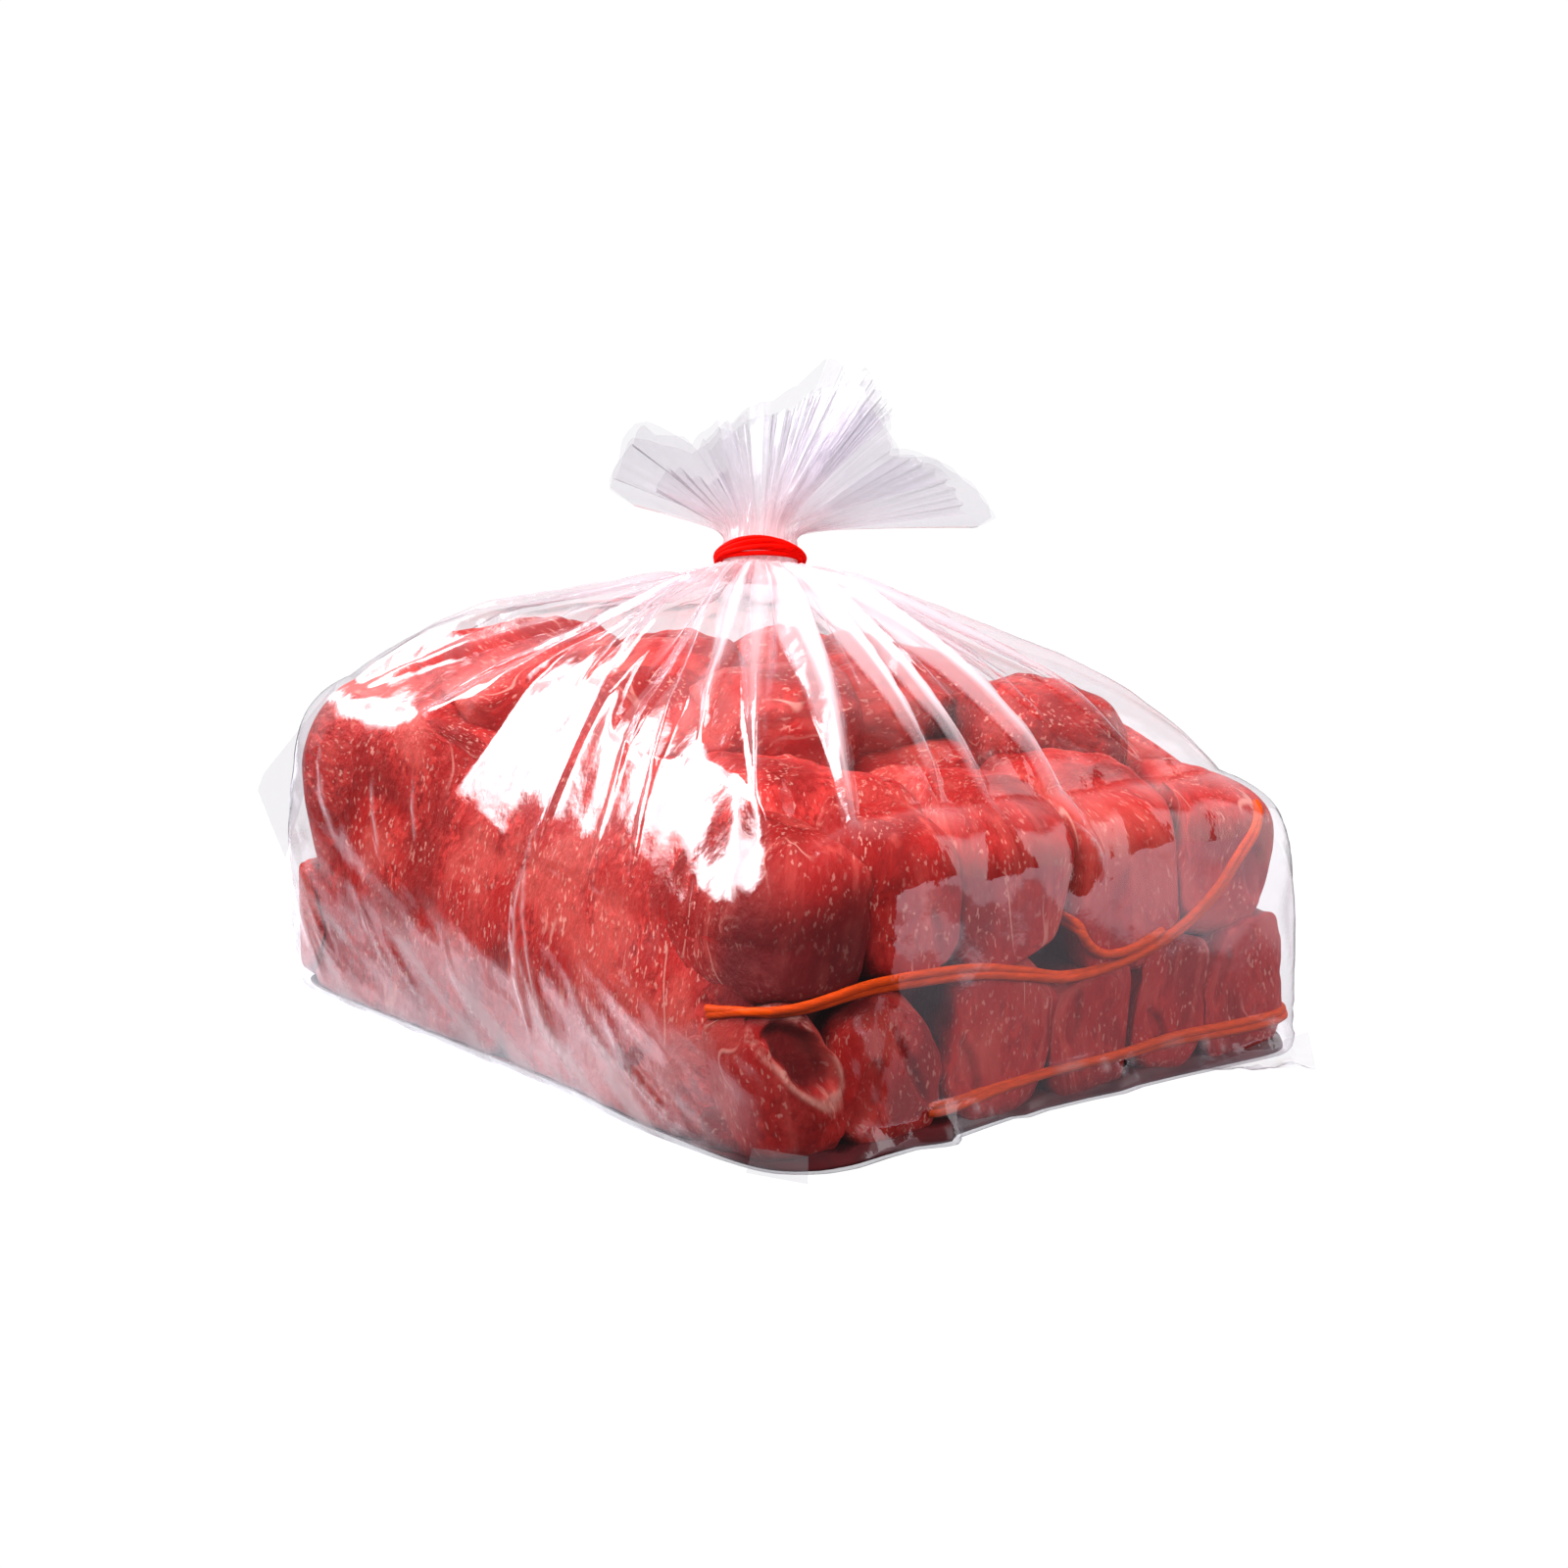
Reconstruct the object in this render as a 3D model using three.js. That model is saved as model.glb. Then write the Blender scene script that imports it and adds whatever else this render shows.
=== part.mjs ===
// A clear film bag packed with beef, gathered to a neck and closed with a red elastic tie.
// The bag stands on its flat base. It has four bulging walls, a shoulder that slopes up to the
// neck in pleats, and above the tie the free film fans out into a ruff.
// Millimetres, +Z up. The origin is at the middle of the base. The face with the rows of chunks
// looks along -Y, and the long face with the slab of beef looks along -X.
import * as THREE from "three";

// ---- Driving dimensions ----
const bagWidth = 184; // across the chunk face
const bagDepth = 240; // along the slab face
const outlineMiddle = new THREE.Vector2(1.8, 1.4); // of the walls without their bulges
const cornerPower = 16; // how square the bag is seen from above: 2 is an ellipse
const bellies = [[218, 4.5], [243, 3]]; // where a wall bulges: degrees about Z, and how far
const shoulderHeight = { nearLeft: 66, nearRight: 62, farLeft: 82, farRight: 72 };
const neckBase = new THREE.Vector3(-2.5, 0.8, 125); // where the gathered film becomes round
const neckRadius = 10;
const neckLength = 8;
const neckLean = 26; // degrees, away from the near corner
const fanTurn = -38; // degrees about Z: the ruff fans out along this direction
const fanDepth = 9; // half the gap between the two sheets of the ruff at its rim
// The rim of the ruff: degrees above the fan's right-hand end, and distance from the neck.
const ruffRim = [
  [5, 60], [7, 65], [16, 63], [22, 60], [30, 55], [36, 49], [50, 54], [60, 56], [70, 52],
  [76, 43], [96, 37], [114, 34], [126, 32], [134, 44], [138, 47], [159, 45], [163, 36],
];
const tieWidth = 5; // along the neck
const tieRadius = 12.2;
const tieStrands = 3;
const clearance = 0.3; // between the tie and the film

// ---- Shape of the film ----
const foot = 0.97; // edge of the flat base, as a share of the wall's radius
const wallTop = 0.8; // where the wall ends and the shoulder begins, as a share of the height
const rimOfShoulder = 0.86; // where the shoulder ends and the slope to the neck begins
const shoulderRise = 1.12; // height of that line, as a share of the wall's height
const crown = 9; // how far the slope bulges above a straight line
const pleatCount = 26;
const pleatHeight = 5.5;
const pleatHalfWidth = 5;
const fluteCount = 10; // folds in each sheet of the ruff
const fluteDepth = 2;
const mouthDepth = 0.45; // how far down the ruff its open mouth reaches, as a share
const bellyHalfWidth = 14; // degrees

// ---- Fineness ----
const around = 112;
const rows = { base: 3, edge: 3, wall: 3, shoulder: 5, slope: 9, neck: 2, ruff: 5, mouth: 2 };

const radians = THREE.MathUtils.degToRad;
const mix = THREE.MathUtils.lerp;

// A repeatable number between 0 and 1 for pleat k.
function chance(k, salt) {
  const wave = Math.sin(k * 12.9898 + salt * 78.233) * 43758.5453;
  return wave - Math.floor(wave);
}

// The turn from one angle to another, between -PI and PI.
function turnBetween(from, to) {
  return Math.atan2(Math.sin(to - from), Math.cos(to - from));
}

// A smooth hump between the neck (0) and the shoulder (1), highest at two thirds.
function hump(share) {
  return share > 0 && share < 1 ? 6.75 * share ** 2 * (1 - share) : 0;
}

// Distance from the middle to the wall, seen from above, at one angle.
function wallRadius(angle) {
  const across = Math.abs(Math.cos(angle) / (bagWidth / 2)) ** cornerPower;
  const along = Math.abs(Math.sin(angle) / (bagDepth / 2)) ** cornerPower;
  return bellies.reduce((reach, [at, size]) => {
    const aside = turnBetween(radians(at), angle) / radians(bellyHalfWidth);
    return reach + size * Math.exp(-(aside ** 2));
  }, (across + along) ** (-1 / cornerPower));
}

// Height of the shoulder at one angle, blended between the four corners.
function wallHeight(angle) {
  const reach = wallRadius(angle);
  const east = (Math.cos(angle) * reach) / bagWidth + 0.5;
  const north = (Math.sin(angle) * reach) / bagDepth + 0.5;
  const near = mix(shoulderHeight.nearLeft, shoulderHeight.nearRight, east);
  const far = mix(shoulderHeight.farLeft, shoulderHeight.farRight, east);
  return mix(near, far, north);
}

// ---- Frame of the leaning neck ----
const leanAxis = new THREE.Vector3(Math.cos(radians(fanTurn)), Math.sin(radians(fanTurn)), 0);
const neckTurn = new THREE.Quaternion().setFromAxisAngle(leanAxis, -radians(neckLean));
const neckAxis = new THREE.Vector3(0, 0, 1).applyQuaternion(neckTurn);
const depthAxis = new THREE.Vector3().crossVectors(neckAxis, leanAxis);

// A point of the ring at a height along the neck.
function neckPoint(angle, height, radius = neckRadius) {
  return new THREE.Vector3(Math.cos(angle) * radius, Math.sin(angle) * radius, height)
    .applyQuaternion(neckTurn)
    .add(neckBase);
}

// A point of the walls: share of the wall's radius, and height as a share of the wall's height.
function wallPoint(angle, share, rise) {
  const reach = wallRadius(angle) * share;
  const x = outlineMiddle.x + Math.cos(angle) * reach;
  const y = outlineMiddle.y + Math.sin(angle) * reach;
  return new THREE.Vector3(x, y, rise * wallHeight(angle));
}

// Profiles of the lower edge and of the shoulder: x is the share of radius, y the share of height.
const edgeCurve = new THREE.QuadraticBezierCurve(
  new THREE.Vector2(foot, 0),
  new THREE.Vector2(1, 0),
  new THREE.Vector2(1, 0.14),
);
const shoulderCurve = new THREE.QuadraticBezierCurve(
  new THREE.Vector2(1, wallTop),
  new THREE.Vector2(0.99, 1.02),
  new THREE.Vector2(rimOfShoulder, shoulderRise),
);

// Pleats stand up from the slope as narrow blades, highest between the neck and the shoulder.
const pleats = Array.from({ length: pleatCount }, (_, k) => ({
  angle: ((k + 0.5 * chance(k, 1)) / pleatCount) * 2 * Math.PI,
  reach: mix(0.5, 1, chance(k, 2)),
  height: mix(0.5, 1, chance(k, 3)) * pleatHeight,
}));

function pleatRise(angle, share) {
  const reach = wallRadius(angle) * share;
  return Math.max(0, ...pleats.map((pleat) => {
    const aside = 1 - (Math.abs(turnBetween(pleat.angle, angle)) * reach) / pleatHalfWidth;
    return pleat.height * Math.max(0, aside) * hump(share / pleat.reach);
  }));
}

// The slope runs from the neck (share 0) to the shoulder (share 1).
function slopePoint(angle, share) {
  const point = neckPoint(angle, 0).lerp(wallPoint(angle, rimOfShoulder, shoulderRise), share);
  point.z += crown * hump(share) + pleatRise(angle, share);
  return point;
}

// Length of the ruff's film at one angle of the fan.
function rimLength(fan) {
  const next = Math.max(1, ruffRim.findIndex(([end]) => end >= fan));
  const [start, from] = ruffRim[next - 1];
  const [end, to] = ruffRim[next];
  return mix(from, to, (fan - start) / (end - start));
}

// The ruff is a fan of two sheets, one at the front and one at the back, joined at its two ends.
// The spread is 1 on the outside of the sheets and 0 halfway between them.
function ruffPoint(angle, share, spread = 1) {
  const turn = angle - radians(fanTurn);
  const sweep = Math.acos(Math.cos(turn)) / Math.PI;
  const fan = mix(ruffRim[0][0], ruffRim[ruffRim.length - 1][0], sweep);
  const length = rimLength(fan) * share;
  const left = neckRadius * (1 - share);
  const flute = fluteDepth * Math.sin(2 * Math.PI * fluteCount * sweep) * Math.sin(Math.PI * sweep);
  const depth = spread * ((fanDepth * share + left) * Math.sin(turn) + flute * share);
  return neckBase
    .clone()
    .addScaledVector(neckAxis, neckLength + length * Math.sin(radians(fan)))
    .addScaledVector(leanAxis, length * Math.cos(radians(fan)) + left * Math.cos(turn))
    .addScaledVector(depthAxis, depth);
}

// Every row of the bag's surface, from the middle of the base to the bottom of the open mouth.
function bagRows() {
  const list = [];
  const add = (count, place, first = 1) => {
    for (let i = first; i <= count; i += 1) list.push((angle) => place(angle, i / count));
  };
  add(rows.base, (angle, t) => wallPoint(angle, foot * t, 0), 0);
  add(rows.edge, (angle, t) => {
    const at = edgeCurve.getPoint(t);
    return wallPoint(angle, at.x, at.y);
  });
  add(rows.wall, (angle, t) => wallPoint(angle, 1, mix(0.14, wallTop, t)));
  add(rows.shoulder, (angle, t) => {
    const at = shoulderCurve.getPoint(t);
    return wallPoint(angle, at.x, at.y);
  });
  add(rows.slope, (angle, t) => slopePoint(angle, 1 - t));
  add(rows.neck, (angle, t) => neckPoint(angle, neckLength * t));
  add(rows.ruff, (angle, t) => ruffPoint(angle, t));
  add(rows.mouth, (angle, t) => ruffPoint(angle, 1 - mouthDepth * t, 1 - 0.5 * t));
  list.push(() => ruffPoint(radians(fanTurn + 90), 0.5 * (1 - mouthDepth), 0));
  return list;
}

// A turned shape whose rows are then moved to the places that the functions above give.
function bagGeometry() {
  const list = bagRows();
  const profile = list.map((_, i) => new THREE.Vector2(Math.sin((Math.PI * i) / (list.length - 1)), i));
  const geometry = new THREE.LatheGeometry(profile, around);
  const position = geometry.getAttribute("position");
  for (let i = 0; i < position.count; i += 1) {
    const column = Math.floor(i / list.length) % around;
    const angle = radians(fanTurn) + (column / around) * 2 * Math.PI;
    const point = list[i % list.length](angle);
    position.setXYZ(i, point.x, point.y, point.z);
  }
  geometry.computeVertexNormals();
  return geometry;
}

// The tie: an elastic wound round the neck, its strands lying side by side.
function tieGeometry() {
  const inner = neckRadius + clearance + 0.2;
  const half = tieWidth / 2;
  const strand = tieWidth / tieStrands;
  const outline = [new THREE.Vector2(inner, -half)];
  for (let s = 0; s < tieStrands; s += 1) {
    const middle = -half + strand * (s + 0.5);
    const bulge = tieRadius - (0.9 * (middle / half) ** 2 + strand / 2);
    for (let i = 0; i <= 4; i += 1) {
      const turn = (i / 4 - 0.5) * 0.8 * Math.PI;
      const lift = Math.cos(turn) * (strand / 2);
      outline.push(new THREE.Vector2(bulge + lift, middle + Math.sin(turn) * (strand / 2)));
    }
  }
  outline.push(new THREE.Vector2(inner, half), new THREE.Vector2(inner, -half));
  return new THREE.LatheGeometry(outline, 48).rotateX(Math.PI / 2);
}

// ---- Materials ----
const filmMaterial = new THREE.MeshStandardMaterial({
  color: 0xe9d9dc, roughness: 0.08, metalness: 0, transparent: true, opacity: 0.4,
});
const tieMaterial = new THREE.MeshStandardMaterial({ color: 0xd80a08, roughness: 0.55, metalness: 0 });

// ---- Assembly ----
const beefBag = new THREE.Group();

const bag = new THREE.Mesh(bagGeometry(), filmMaterial);
bag.name = "bag";
beefBag.add(bag);

const tie = new THREE.Mesh(tieGeometry(), tieMaterial);
tie.name = "neck_tie";
tie.quaternion.copy(neckTurn);
tie.position.copy(neckAxis).multiplyScalar(neckLength / 2).add(neckBase);
beefBag.add(tie);

export default beefBag;
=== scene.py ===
"""Bag of beef: a clear film bag packed with beef, gathered to a neck under a wound red elastic.

Laid out as a Blender add-on and run as a script. Lengths in the shape functions are in
millimetres in the frame of the part: +Z up, the origin in the middle of the flat base. The face
with the rows of chunks looks along -Y and the long face with the slab looks along -X."""

import math

import bpy
import numpy as np
from mathutils import Matrix, Vector
from mathutils.bvhtree import BVHTree


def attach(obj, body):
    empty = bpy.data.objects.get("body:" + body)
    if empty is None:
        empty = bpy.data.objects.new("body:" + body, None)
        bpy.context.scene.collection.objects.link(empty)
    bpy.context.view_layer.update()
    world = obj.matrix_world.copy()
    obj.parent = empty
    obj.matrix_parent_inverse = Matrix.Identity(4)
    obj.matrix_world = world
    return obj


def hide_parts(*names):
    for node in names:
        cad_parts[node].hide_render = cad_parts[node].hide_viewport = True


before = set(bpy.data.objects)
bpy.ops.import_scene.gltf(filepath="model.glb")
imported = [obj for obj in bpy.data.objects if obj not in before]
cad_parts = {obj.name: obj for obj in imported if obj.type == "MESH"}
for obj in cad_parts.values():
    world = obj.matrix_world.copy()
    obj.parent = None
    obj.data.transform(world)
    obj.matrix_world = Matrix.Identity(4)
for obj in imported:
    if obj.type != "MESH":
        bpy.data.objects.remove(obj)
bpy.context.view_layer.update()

bl_info = {
    "name": "Bag of Beef",
    "version": (1, 0, 0),
    "blender": (4, 5, 0),
    "location": "View3D > Sidebar > Beef Bag",
    "description": "Clear film bag of beef with a red elastic tie",
    "category": "Object",
}

MM = 0.001

# The outline of the walls seen from above, as in the solid model.
HALF_WIDTH, HALF_DEPTH = 92.0, 120.0
OUTLINE_MIDDLE = np.array([1.8, 1.4])
CORNER_POWER = 16.0
BELLIES = [(218.0, 4.5), (243.0, 3.0)]  # degrees about Z, and how far the wall bulges there
BELLY_HALF_WIDTH = math.radians(14.0)
SHOULDER = {"near_left": 66.0, "near_right": 62.0, "far_left": 82.0, "far_right": 72.0}
NECK_BASE = np.array([-2.5, 0.8, 125.0])
NECK_LENGTH, NECK_RADIUS = 8.0, 10.0
NECK_LEAN = math.radians(26.0)
FAN_TURN = math.radians(-38.0)
# The rim of the ruff: degrees above the fan's right-hand end, and distance from the neck.
RUFF_RIM = np.array([
    (5, 60), (7, 65), (16, 63), (22, 60), (30, 55), (36, 49), (50, 54), (60, 56), (70, 52),
    (76, 43), (96, 37), (114, 34), (126, 32), (134, 44), (138, 47), (159, 45), (163, 36),
], float)

RUFF_FOLDS = 17

# The long pleats of the front: degrees about Z, where each ends (1 is the shoulder's rim, 2 the
# foot of the wall), half width, height, which side of it is the steep one, and how white it is:
# milky folded film with a painted highlight streak beside the ridge.
FRONT_PLEATS = [
    (133, 1.05, 6.0, 4.0, 0.4, 0.3), (146, 0.9, 5.0, 4.0, -0.5, 0.3),
    (156, 1.2, 6.0, 3.5, 0.5, 0.3), (167, 0.8, 5.0, 4.5, -0.4, 0.4),
    (178, 1.05, 5.5, 4.0, 0.6, 0.5), (189, 1.3, 6.5, 6.0, -0.6, 0.25),
    (197, 0.75, 4.5, 2.2, 0.5, 0.4), (204, 1.2, 5.5, 3.0, 0.6, 0.2),
    (213, 1.25, 5.5, 4.0, -0.5, 0.3), (221, 0.95, 6.5, 6.0, 0.5, 0.9),
    (230, 1.05, 7.5, 6.0, 0.4, 0.45), (241.5, 1.14, 8.0, 7.0, 0.5, 1.3),
    (249, 0.7, 5.0, 5.0, 0.4, 0.2), (255, 1.02, 6.5, 6.5, 0.6, 1.4),
    (262, 1.08, 6.5, 6.5, 0.5, 1.4), (268, 0.75, 5.0, 5.0, 0.3, 0.2),
    (275, 1.22, 7.5, 7.5, 0.6, 1.3), (284, 0.85, 5.5, 5.5, 0.4, 0.4),
    (295, 0.98, 6.5, 6.0, 0.5, 0.5), (306, 1.1, 6.0, 5.0, -0.4, 0.3),
]

BACK_PLEATS, NECK_PLEATS = 16, 44

# Creases of the film on the slab's face, in its plane (y, z): start, end, height, half width.
SLAB_CREASES = [
    ((-9, 66), (-15, 14), 0.9, 3.5), ((-7, 60), (-30, 8), 0.35, 3.0),
    ((-4, 40), (-44, 5), 0.3, 3.0), ((112, 58), (92, 6), 0.7, 4.0), ((108, 44), (80, 8), 0.5, 3.0),
    ((116, 50), (104, 2), 0.6, 3.5), ((74, 36), (40, 8), 0.3, 3.0), ((60, 26), (20, 6), 0.3, 3.0),
    ((26, 30), (0, 6), 0.3, 2.5), ((-30, 34), (-70, 12), 0.3, 3.0), ((-52, 26), (-96, 4), 0.4, 3.0),
    ((-60, 16), (-108, 2), 0.4, 2.5), ((66, 70), (58, 46), 0.8, 3.0), ((48, 72), (44, 52), 0.8, 2.6),
    ((92, 74), (84, 50), 0.7, 3.0),
]
# The same on the chunk face, in its plane (x, z).
ROW_CREASES = [
    ((8, 72), (13, 58), 1.6, 3.0), ((84, 66), (88, 6), 0.7, 2.5), ((78, 60), (90, 20), 0.4, 2.0),
    ((-88, 14), (-60, 3), 0.6, 2.5), ((-50, 8), (-20, 2), 0.8, 2.5), ((-14, 9), (30, 2.5), 0.8, 2.5),
    ((20, 8), (66, 3), 0.7, 2.5), ((56, 9), (90, 3), 0.8, 2.5),
]

# How far the foot of the film stands out on the chunk face: X, and millimetres.
FOOT_LIP = np.array([
    (-92, 0), (-86, 0.5), (-78, 3), (-70, 3.5), (-60, 2), (-50, 1.5), (-43, 4.5), (-39, 5.0),
    (-36, 1.5), (-26, 0.5), (-15, -0.5), (-11, 1.2), (-4, 0.2), (12, 0.6), (22, 1.6), (30, 0.2),
    (44, 0.4), (60, 1.2), (80, 2.5), (92, 1),
], float)

# Beef: middle, half sizes, turn in degrees about X, Y and Z, squareness, and for some a tone: 0 is
# light, 1 is dark and more is darker still. The grain of a piece runs along its own X axis, or
# its Z axis in the rows.
ROW_PIECES = [
    ((-77, -97, 60), (19, 25, 21.5), (0, 8, 6), 3.6, 2.2),
    ((-46.5, -95, 60), (16.5, 29, 23.5), (3, -3, 2), 3.8),
    ((-11.5, -95, 60.5), (21.5, 29, 25), (-3, 1, -3), 4.2),
    ((27, -95, 56.5), (23.5, 29, 26), (3, -6, 3), 3.8),
    ((67, -96, 56), (21, 28, 22.5), (-4, 14, -3), 3.3),
    ((-84, -108, 18.5), (15, 15, 20), (0, -14, 10), 3.2),
    ((-56.5, -106, 18), (16.5, 22, 21), (0, -8, 0), 3.4),
    ((-19.5, -105, 18.5), (19.5, 22, 20.5), (0, 6, 3), 3.6),
    ((14, -105, 18), (15.5, 22, 20), (0, -6, -3), 3.6),
    ((41, -105, 18), (14.5, 22, 20), (0, 7, 2), 3.5),
    ((70, -103, 18), (17.5, 22, 20.5), (0, -5, 0), 3.6),
    ((-80, -98, 18), (10, 14, 18), (0, 0, 0), 2.8, 1.0),
]
SLAB_PIECES = [
    ((-58, -52, 41), (48, 57, 38), (3, -87, 1), 5.0),
    ((-56, 55, 42), (52, 69, 41), (-2, -92, -1), 4.8),
    ((-86, -88, 17), (15, 12, 15), (0, 10, 70), 2.7),
    ((-86, -64, 15), (13, 11, 10), (0, -14, 100), 2.5),
    ((-87, -96, 6), (12, 10, 6), (0, 8, 60), 2.6),
    ((-80, 110, 18), (16, 14, 19), (0, 12, 80), 2.8),
    ((-72, 96, 60), (22, 20, 28), (0, 0, 80), 2.8),
]
HEAP_PIECES = [
    ((-54, -16, 86), (27, 24, 18), (0, 0, 60), 2.6),
    ((-33, -43, 90), (27, 20, 17), (8, 0, 12), 2.6),
    ((8, -34, 88), (23, 19, 14), (0, 0, -15), 2.5),
    ((44, -62, 81), (28, 24, 18), (0, 10, 25), 2.7),
    ((-28, 8, 92), (30, 24, 15), (0, 0, 20), 2.5),
    ((34, -10, 86), (32, 28, 18), (0, 8, -30), 2.6),
    ((-46, 46, 92), (32, 26, 18), (0, 0, 80), 2.6),
    ((0, 44, 84), (28, 26, 19), (0, 0, 10), 2.6),
    ((46, 38, 80), (30, 30, 20), (0, 0, 40), 2.7),
    ((-56, 84, 84), (28, 28, 20), (0, 0, 100), 2.7),
    ((-18, 84, 74), (27, 24, 22), (0, 0, 0), 2.6),
    ((30, 84, 74), (29, 26, 24), (0, 0, 15), 2.7),
]
HIDDEN_PIECES = [
    ((0, 0, 40), (66, 92, 40), (0, 0, 0), 5.0),
    ((68, -58, 64), (25, 27, 26), (0, 10, 5), 2.9),
    ((70, -10, 62), (24, 27, 27), (0, 6, -4), 2.8),
    ((70, 36, 64), (25, 27, 28), (0, 4, 3), 2.8),
    ((68, 84, 62), (26, 29, 28), (0, 4, -5), 2.8),
    ((76, -60, 19), (18, 24, 18), (0, 0, -4), 2.7),
    ((76, -16, 19), (18, 24, 18), (0, 0, 6), 2.8),
    ((76, 28, 19), (18, 24, 18), (0, 0, -3), 2.7),
    ((76, 74, 19), (18, 26, 18), (0, 0, 4), 2.7),
    ((-34, 100, 58), (24, 22, 25), (0, 0, 4), 2.8),
    ((8, 101, 56), (23, 22, 23), (0, 0, -3), 2.7),
    ((46, 100, 54), (22, 22, 22), (0, 0, 5), 2.8),
    ((-42, 104, 19), (24, 20, 18), (0, 0, 0), 2.7),
    ((2, 104, 19), (24, 20, 18), (0, 0, 4), 2.8),
    ((46, 104, 19), (24, 20, 18), (0, 0, -4), 2.7),
    ((80, 108, 24), (16, 18, 24), (0, 0, 0), 3.0),
]

# Hollows in the chunk face: centre, half sizes, tilt and depth. The largest is the inside of the
# folded piece at the near corner.
DENTS = [
    ((-80.5, -117, 27), (6.0, 12.5), 0.60, 4.6), ((-64, -120, 15), (4.5, 11), -0.5, 1.6),
    ((-50, -120, 20), (1.8, 13), 0.5, 1.4), ((-30, -119, 16), (2.6, 10), 0.4, 1.3),
    ((6, -117, 22), (2.6, 9), -0.2, 1.2), ((36, -117, 14), (2.6, 8), 0.5, 1.3),
    ((60, -117, 24), (2.2, 9), -0.4, 1.2), ((-40, -118, 50), (1.8, 9), 0.2, 1.0),
    ((22, -116, 52), (2.2, 8), -0.5, 1.0), ((74, -115, 50), (6.0, 9), 0.2, 1.8),
]

# Orange elastics: points on the film's wall, (x, y, z); they lie just inside it.
ORANGE_ROUTES = [
    [(-82, -84, 34), (-90, -92, 34.8), (-93, -100, 35.5), (-92, -108, 37), (-84, -119, 39),
     (-67, -124, 41.4), (-49, -123, 41.3), (-29, -122, 39.8), (-12, -121, 36.5), (3, -121, 33.4),
     (22, -121, 34), (35, -121, 36.5), (48, -121, 41), (60, -120, 48), (69, -119, 56),
     (76, -117, 62), (80, -112, 68)],
    [(6, -109, 48), (8, -119, 44), (12, -121, 39.5), (18, -121, 37), (27, -121, 37),
     (38, -121, 39.5)],
    [(-44, -118, 8.5), (-36, -121, 7.5), (-22, -121, 8.2), (0, -121, 8.8), (22, -120, 9),
     (42, -120, 10), (62, -120, 9.4), (80, -119, 9.2), (88, -113, 10), (86, -102, 12)],
    [(-72, -64, 83), (-67, -70, 86), (-60, -75, 87.5), (-52, -79, 87), (-44, -82, 84)],
]


# How far inside the film the beef and the orange elastics are pressed, how often a piece of beef
# is cut flat, and how deep a hollow has to be to have a pale rim.
BEEF_GAP, ORANGE_GAP = 2.3, 2.2
FLAT_CUTS, RIMMED_DEPTH = 11, 3.0


# ---- Numbers ----
def chance(k, salt):
    """A repeatable number between 0 and 1 for item k."""
    wave = np.sin(k * 12.9898 + salt * 78.233) * 43758.5453
    return wave - np.floor(wave)


def turn_between(start, end):
    """The turn from one angle to another, between -pi and pi."""
    return np.arctan2(np.sin(end - start), np.cos(end - start))


def smooth(low, high, value):
    """A smooth step: 0 at low and before it, 1 at high and beyond. High may be the smaller one."""
    t = np.clip((value - low) / (high - low), 0.0, 1.0)
    return t * t * (3 - 2 * t)


def ripples(points, seed, length, count=9, stretch=(1.0, 1.0, 1.0)):
    """Smooth repeatable noise from crossed waves of about one length, between -1 and 1."""
    rng = np.random.default_rng(seed)
    total = np.zeros(len(points))
    for _ in range(count):
        way = rng.normal(size=3)
        way /= np.linalg.norm(way)
        wave = way * rng.uniform(0.6, 1.5) * math.tau / length / np.array(stretch)
        total += np.sin(points @ wave + rng.uniform(0, math.tau))
    return total / math.sqrt(count) / 1.4


# ---- The film's shape ----
def wall_radius(angle):
    """Distance from the middle to the wall, seen from above."""
    across = np.abs(np.cos(angle) / HALF_WIDTH) ** CORNER_POWER
    along = np.abs(np.sin(angle) / HALF_DEPTH) ** CORNER_POWER
    reach = (across + along) ** (-1 / CORNER_POWER)
    for at, size in BELLIES:
        aside = turn_between(math.radians(at), angle) / BELLY_HALF_WIDTH
        reach = reach + size * np.exp(-(aside ** 2))
    return reach


def wall_height(angle):
    """Height of the shoulder, blended between the four corners."""
    reach = wall_radius(angle)
    east = np.cos(angle) * reach / (2 * HALF_WIDTH) + 0.5
    north = np.sin(angle) * reach / (2 * HALF_DEPTH) + 0.5
    near = SHOULDER["near_left"] * (1 - east) + SHOULDER["near_right"] * east
    far = SHOULDER["far_left"] * (1 - east) + SHOULDER["far_right"] * east
    return near * (1 - north) + far * north


def slab_side(angle):
    """1 on the long face with the slab and 0 elsewhere."""
    turn = np.degrees(angle) % 360
    return smooth(138, 160, turn) * (1 - smooth(227, 236, turn))


def row_side(angle):
    """1 on the face with the rows of chunks and 0 elsewhere."""
    turn = np.degrees(angle) % 360
    return smooth(234, 243, turn) * (1 - smooth(306, 316, turn))


def wall_lean(angle):
    """How far the top of a wall leans in: more on the slab's face than on the chunk face."""
    turn = np.degrees(angle) % 360
    slab = smooth(134, 156, turn) * (1 - smooth(228, 246, turn))
    return 0.012 + 0.045 * slab + 0.03 * (1 - smooth(96, 122, turn)) + 0.03 * smooth(306, 330, turn)


def rim_height(angle):
    """Height of the line where the shoulder ends and the slope to the neck begins."""
    turn = np.degrees(angle) % 360
    slab = np.interp(turn, [130, 148, 160, 172, 190, 199, 212, 222, 235],
                     [88, 89, 96, 100, 99, 90, 87, 89, 86])
    side = slab_side(angle)
    return (1 - side) * (1.12 + 0.09 * row_side(angle)) * wall_height(angle) + side * slab


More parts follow.
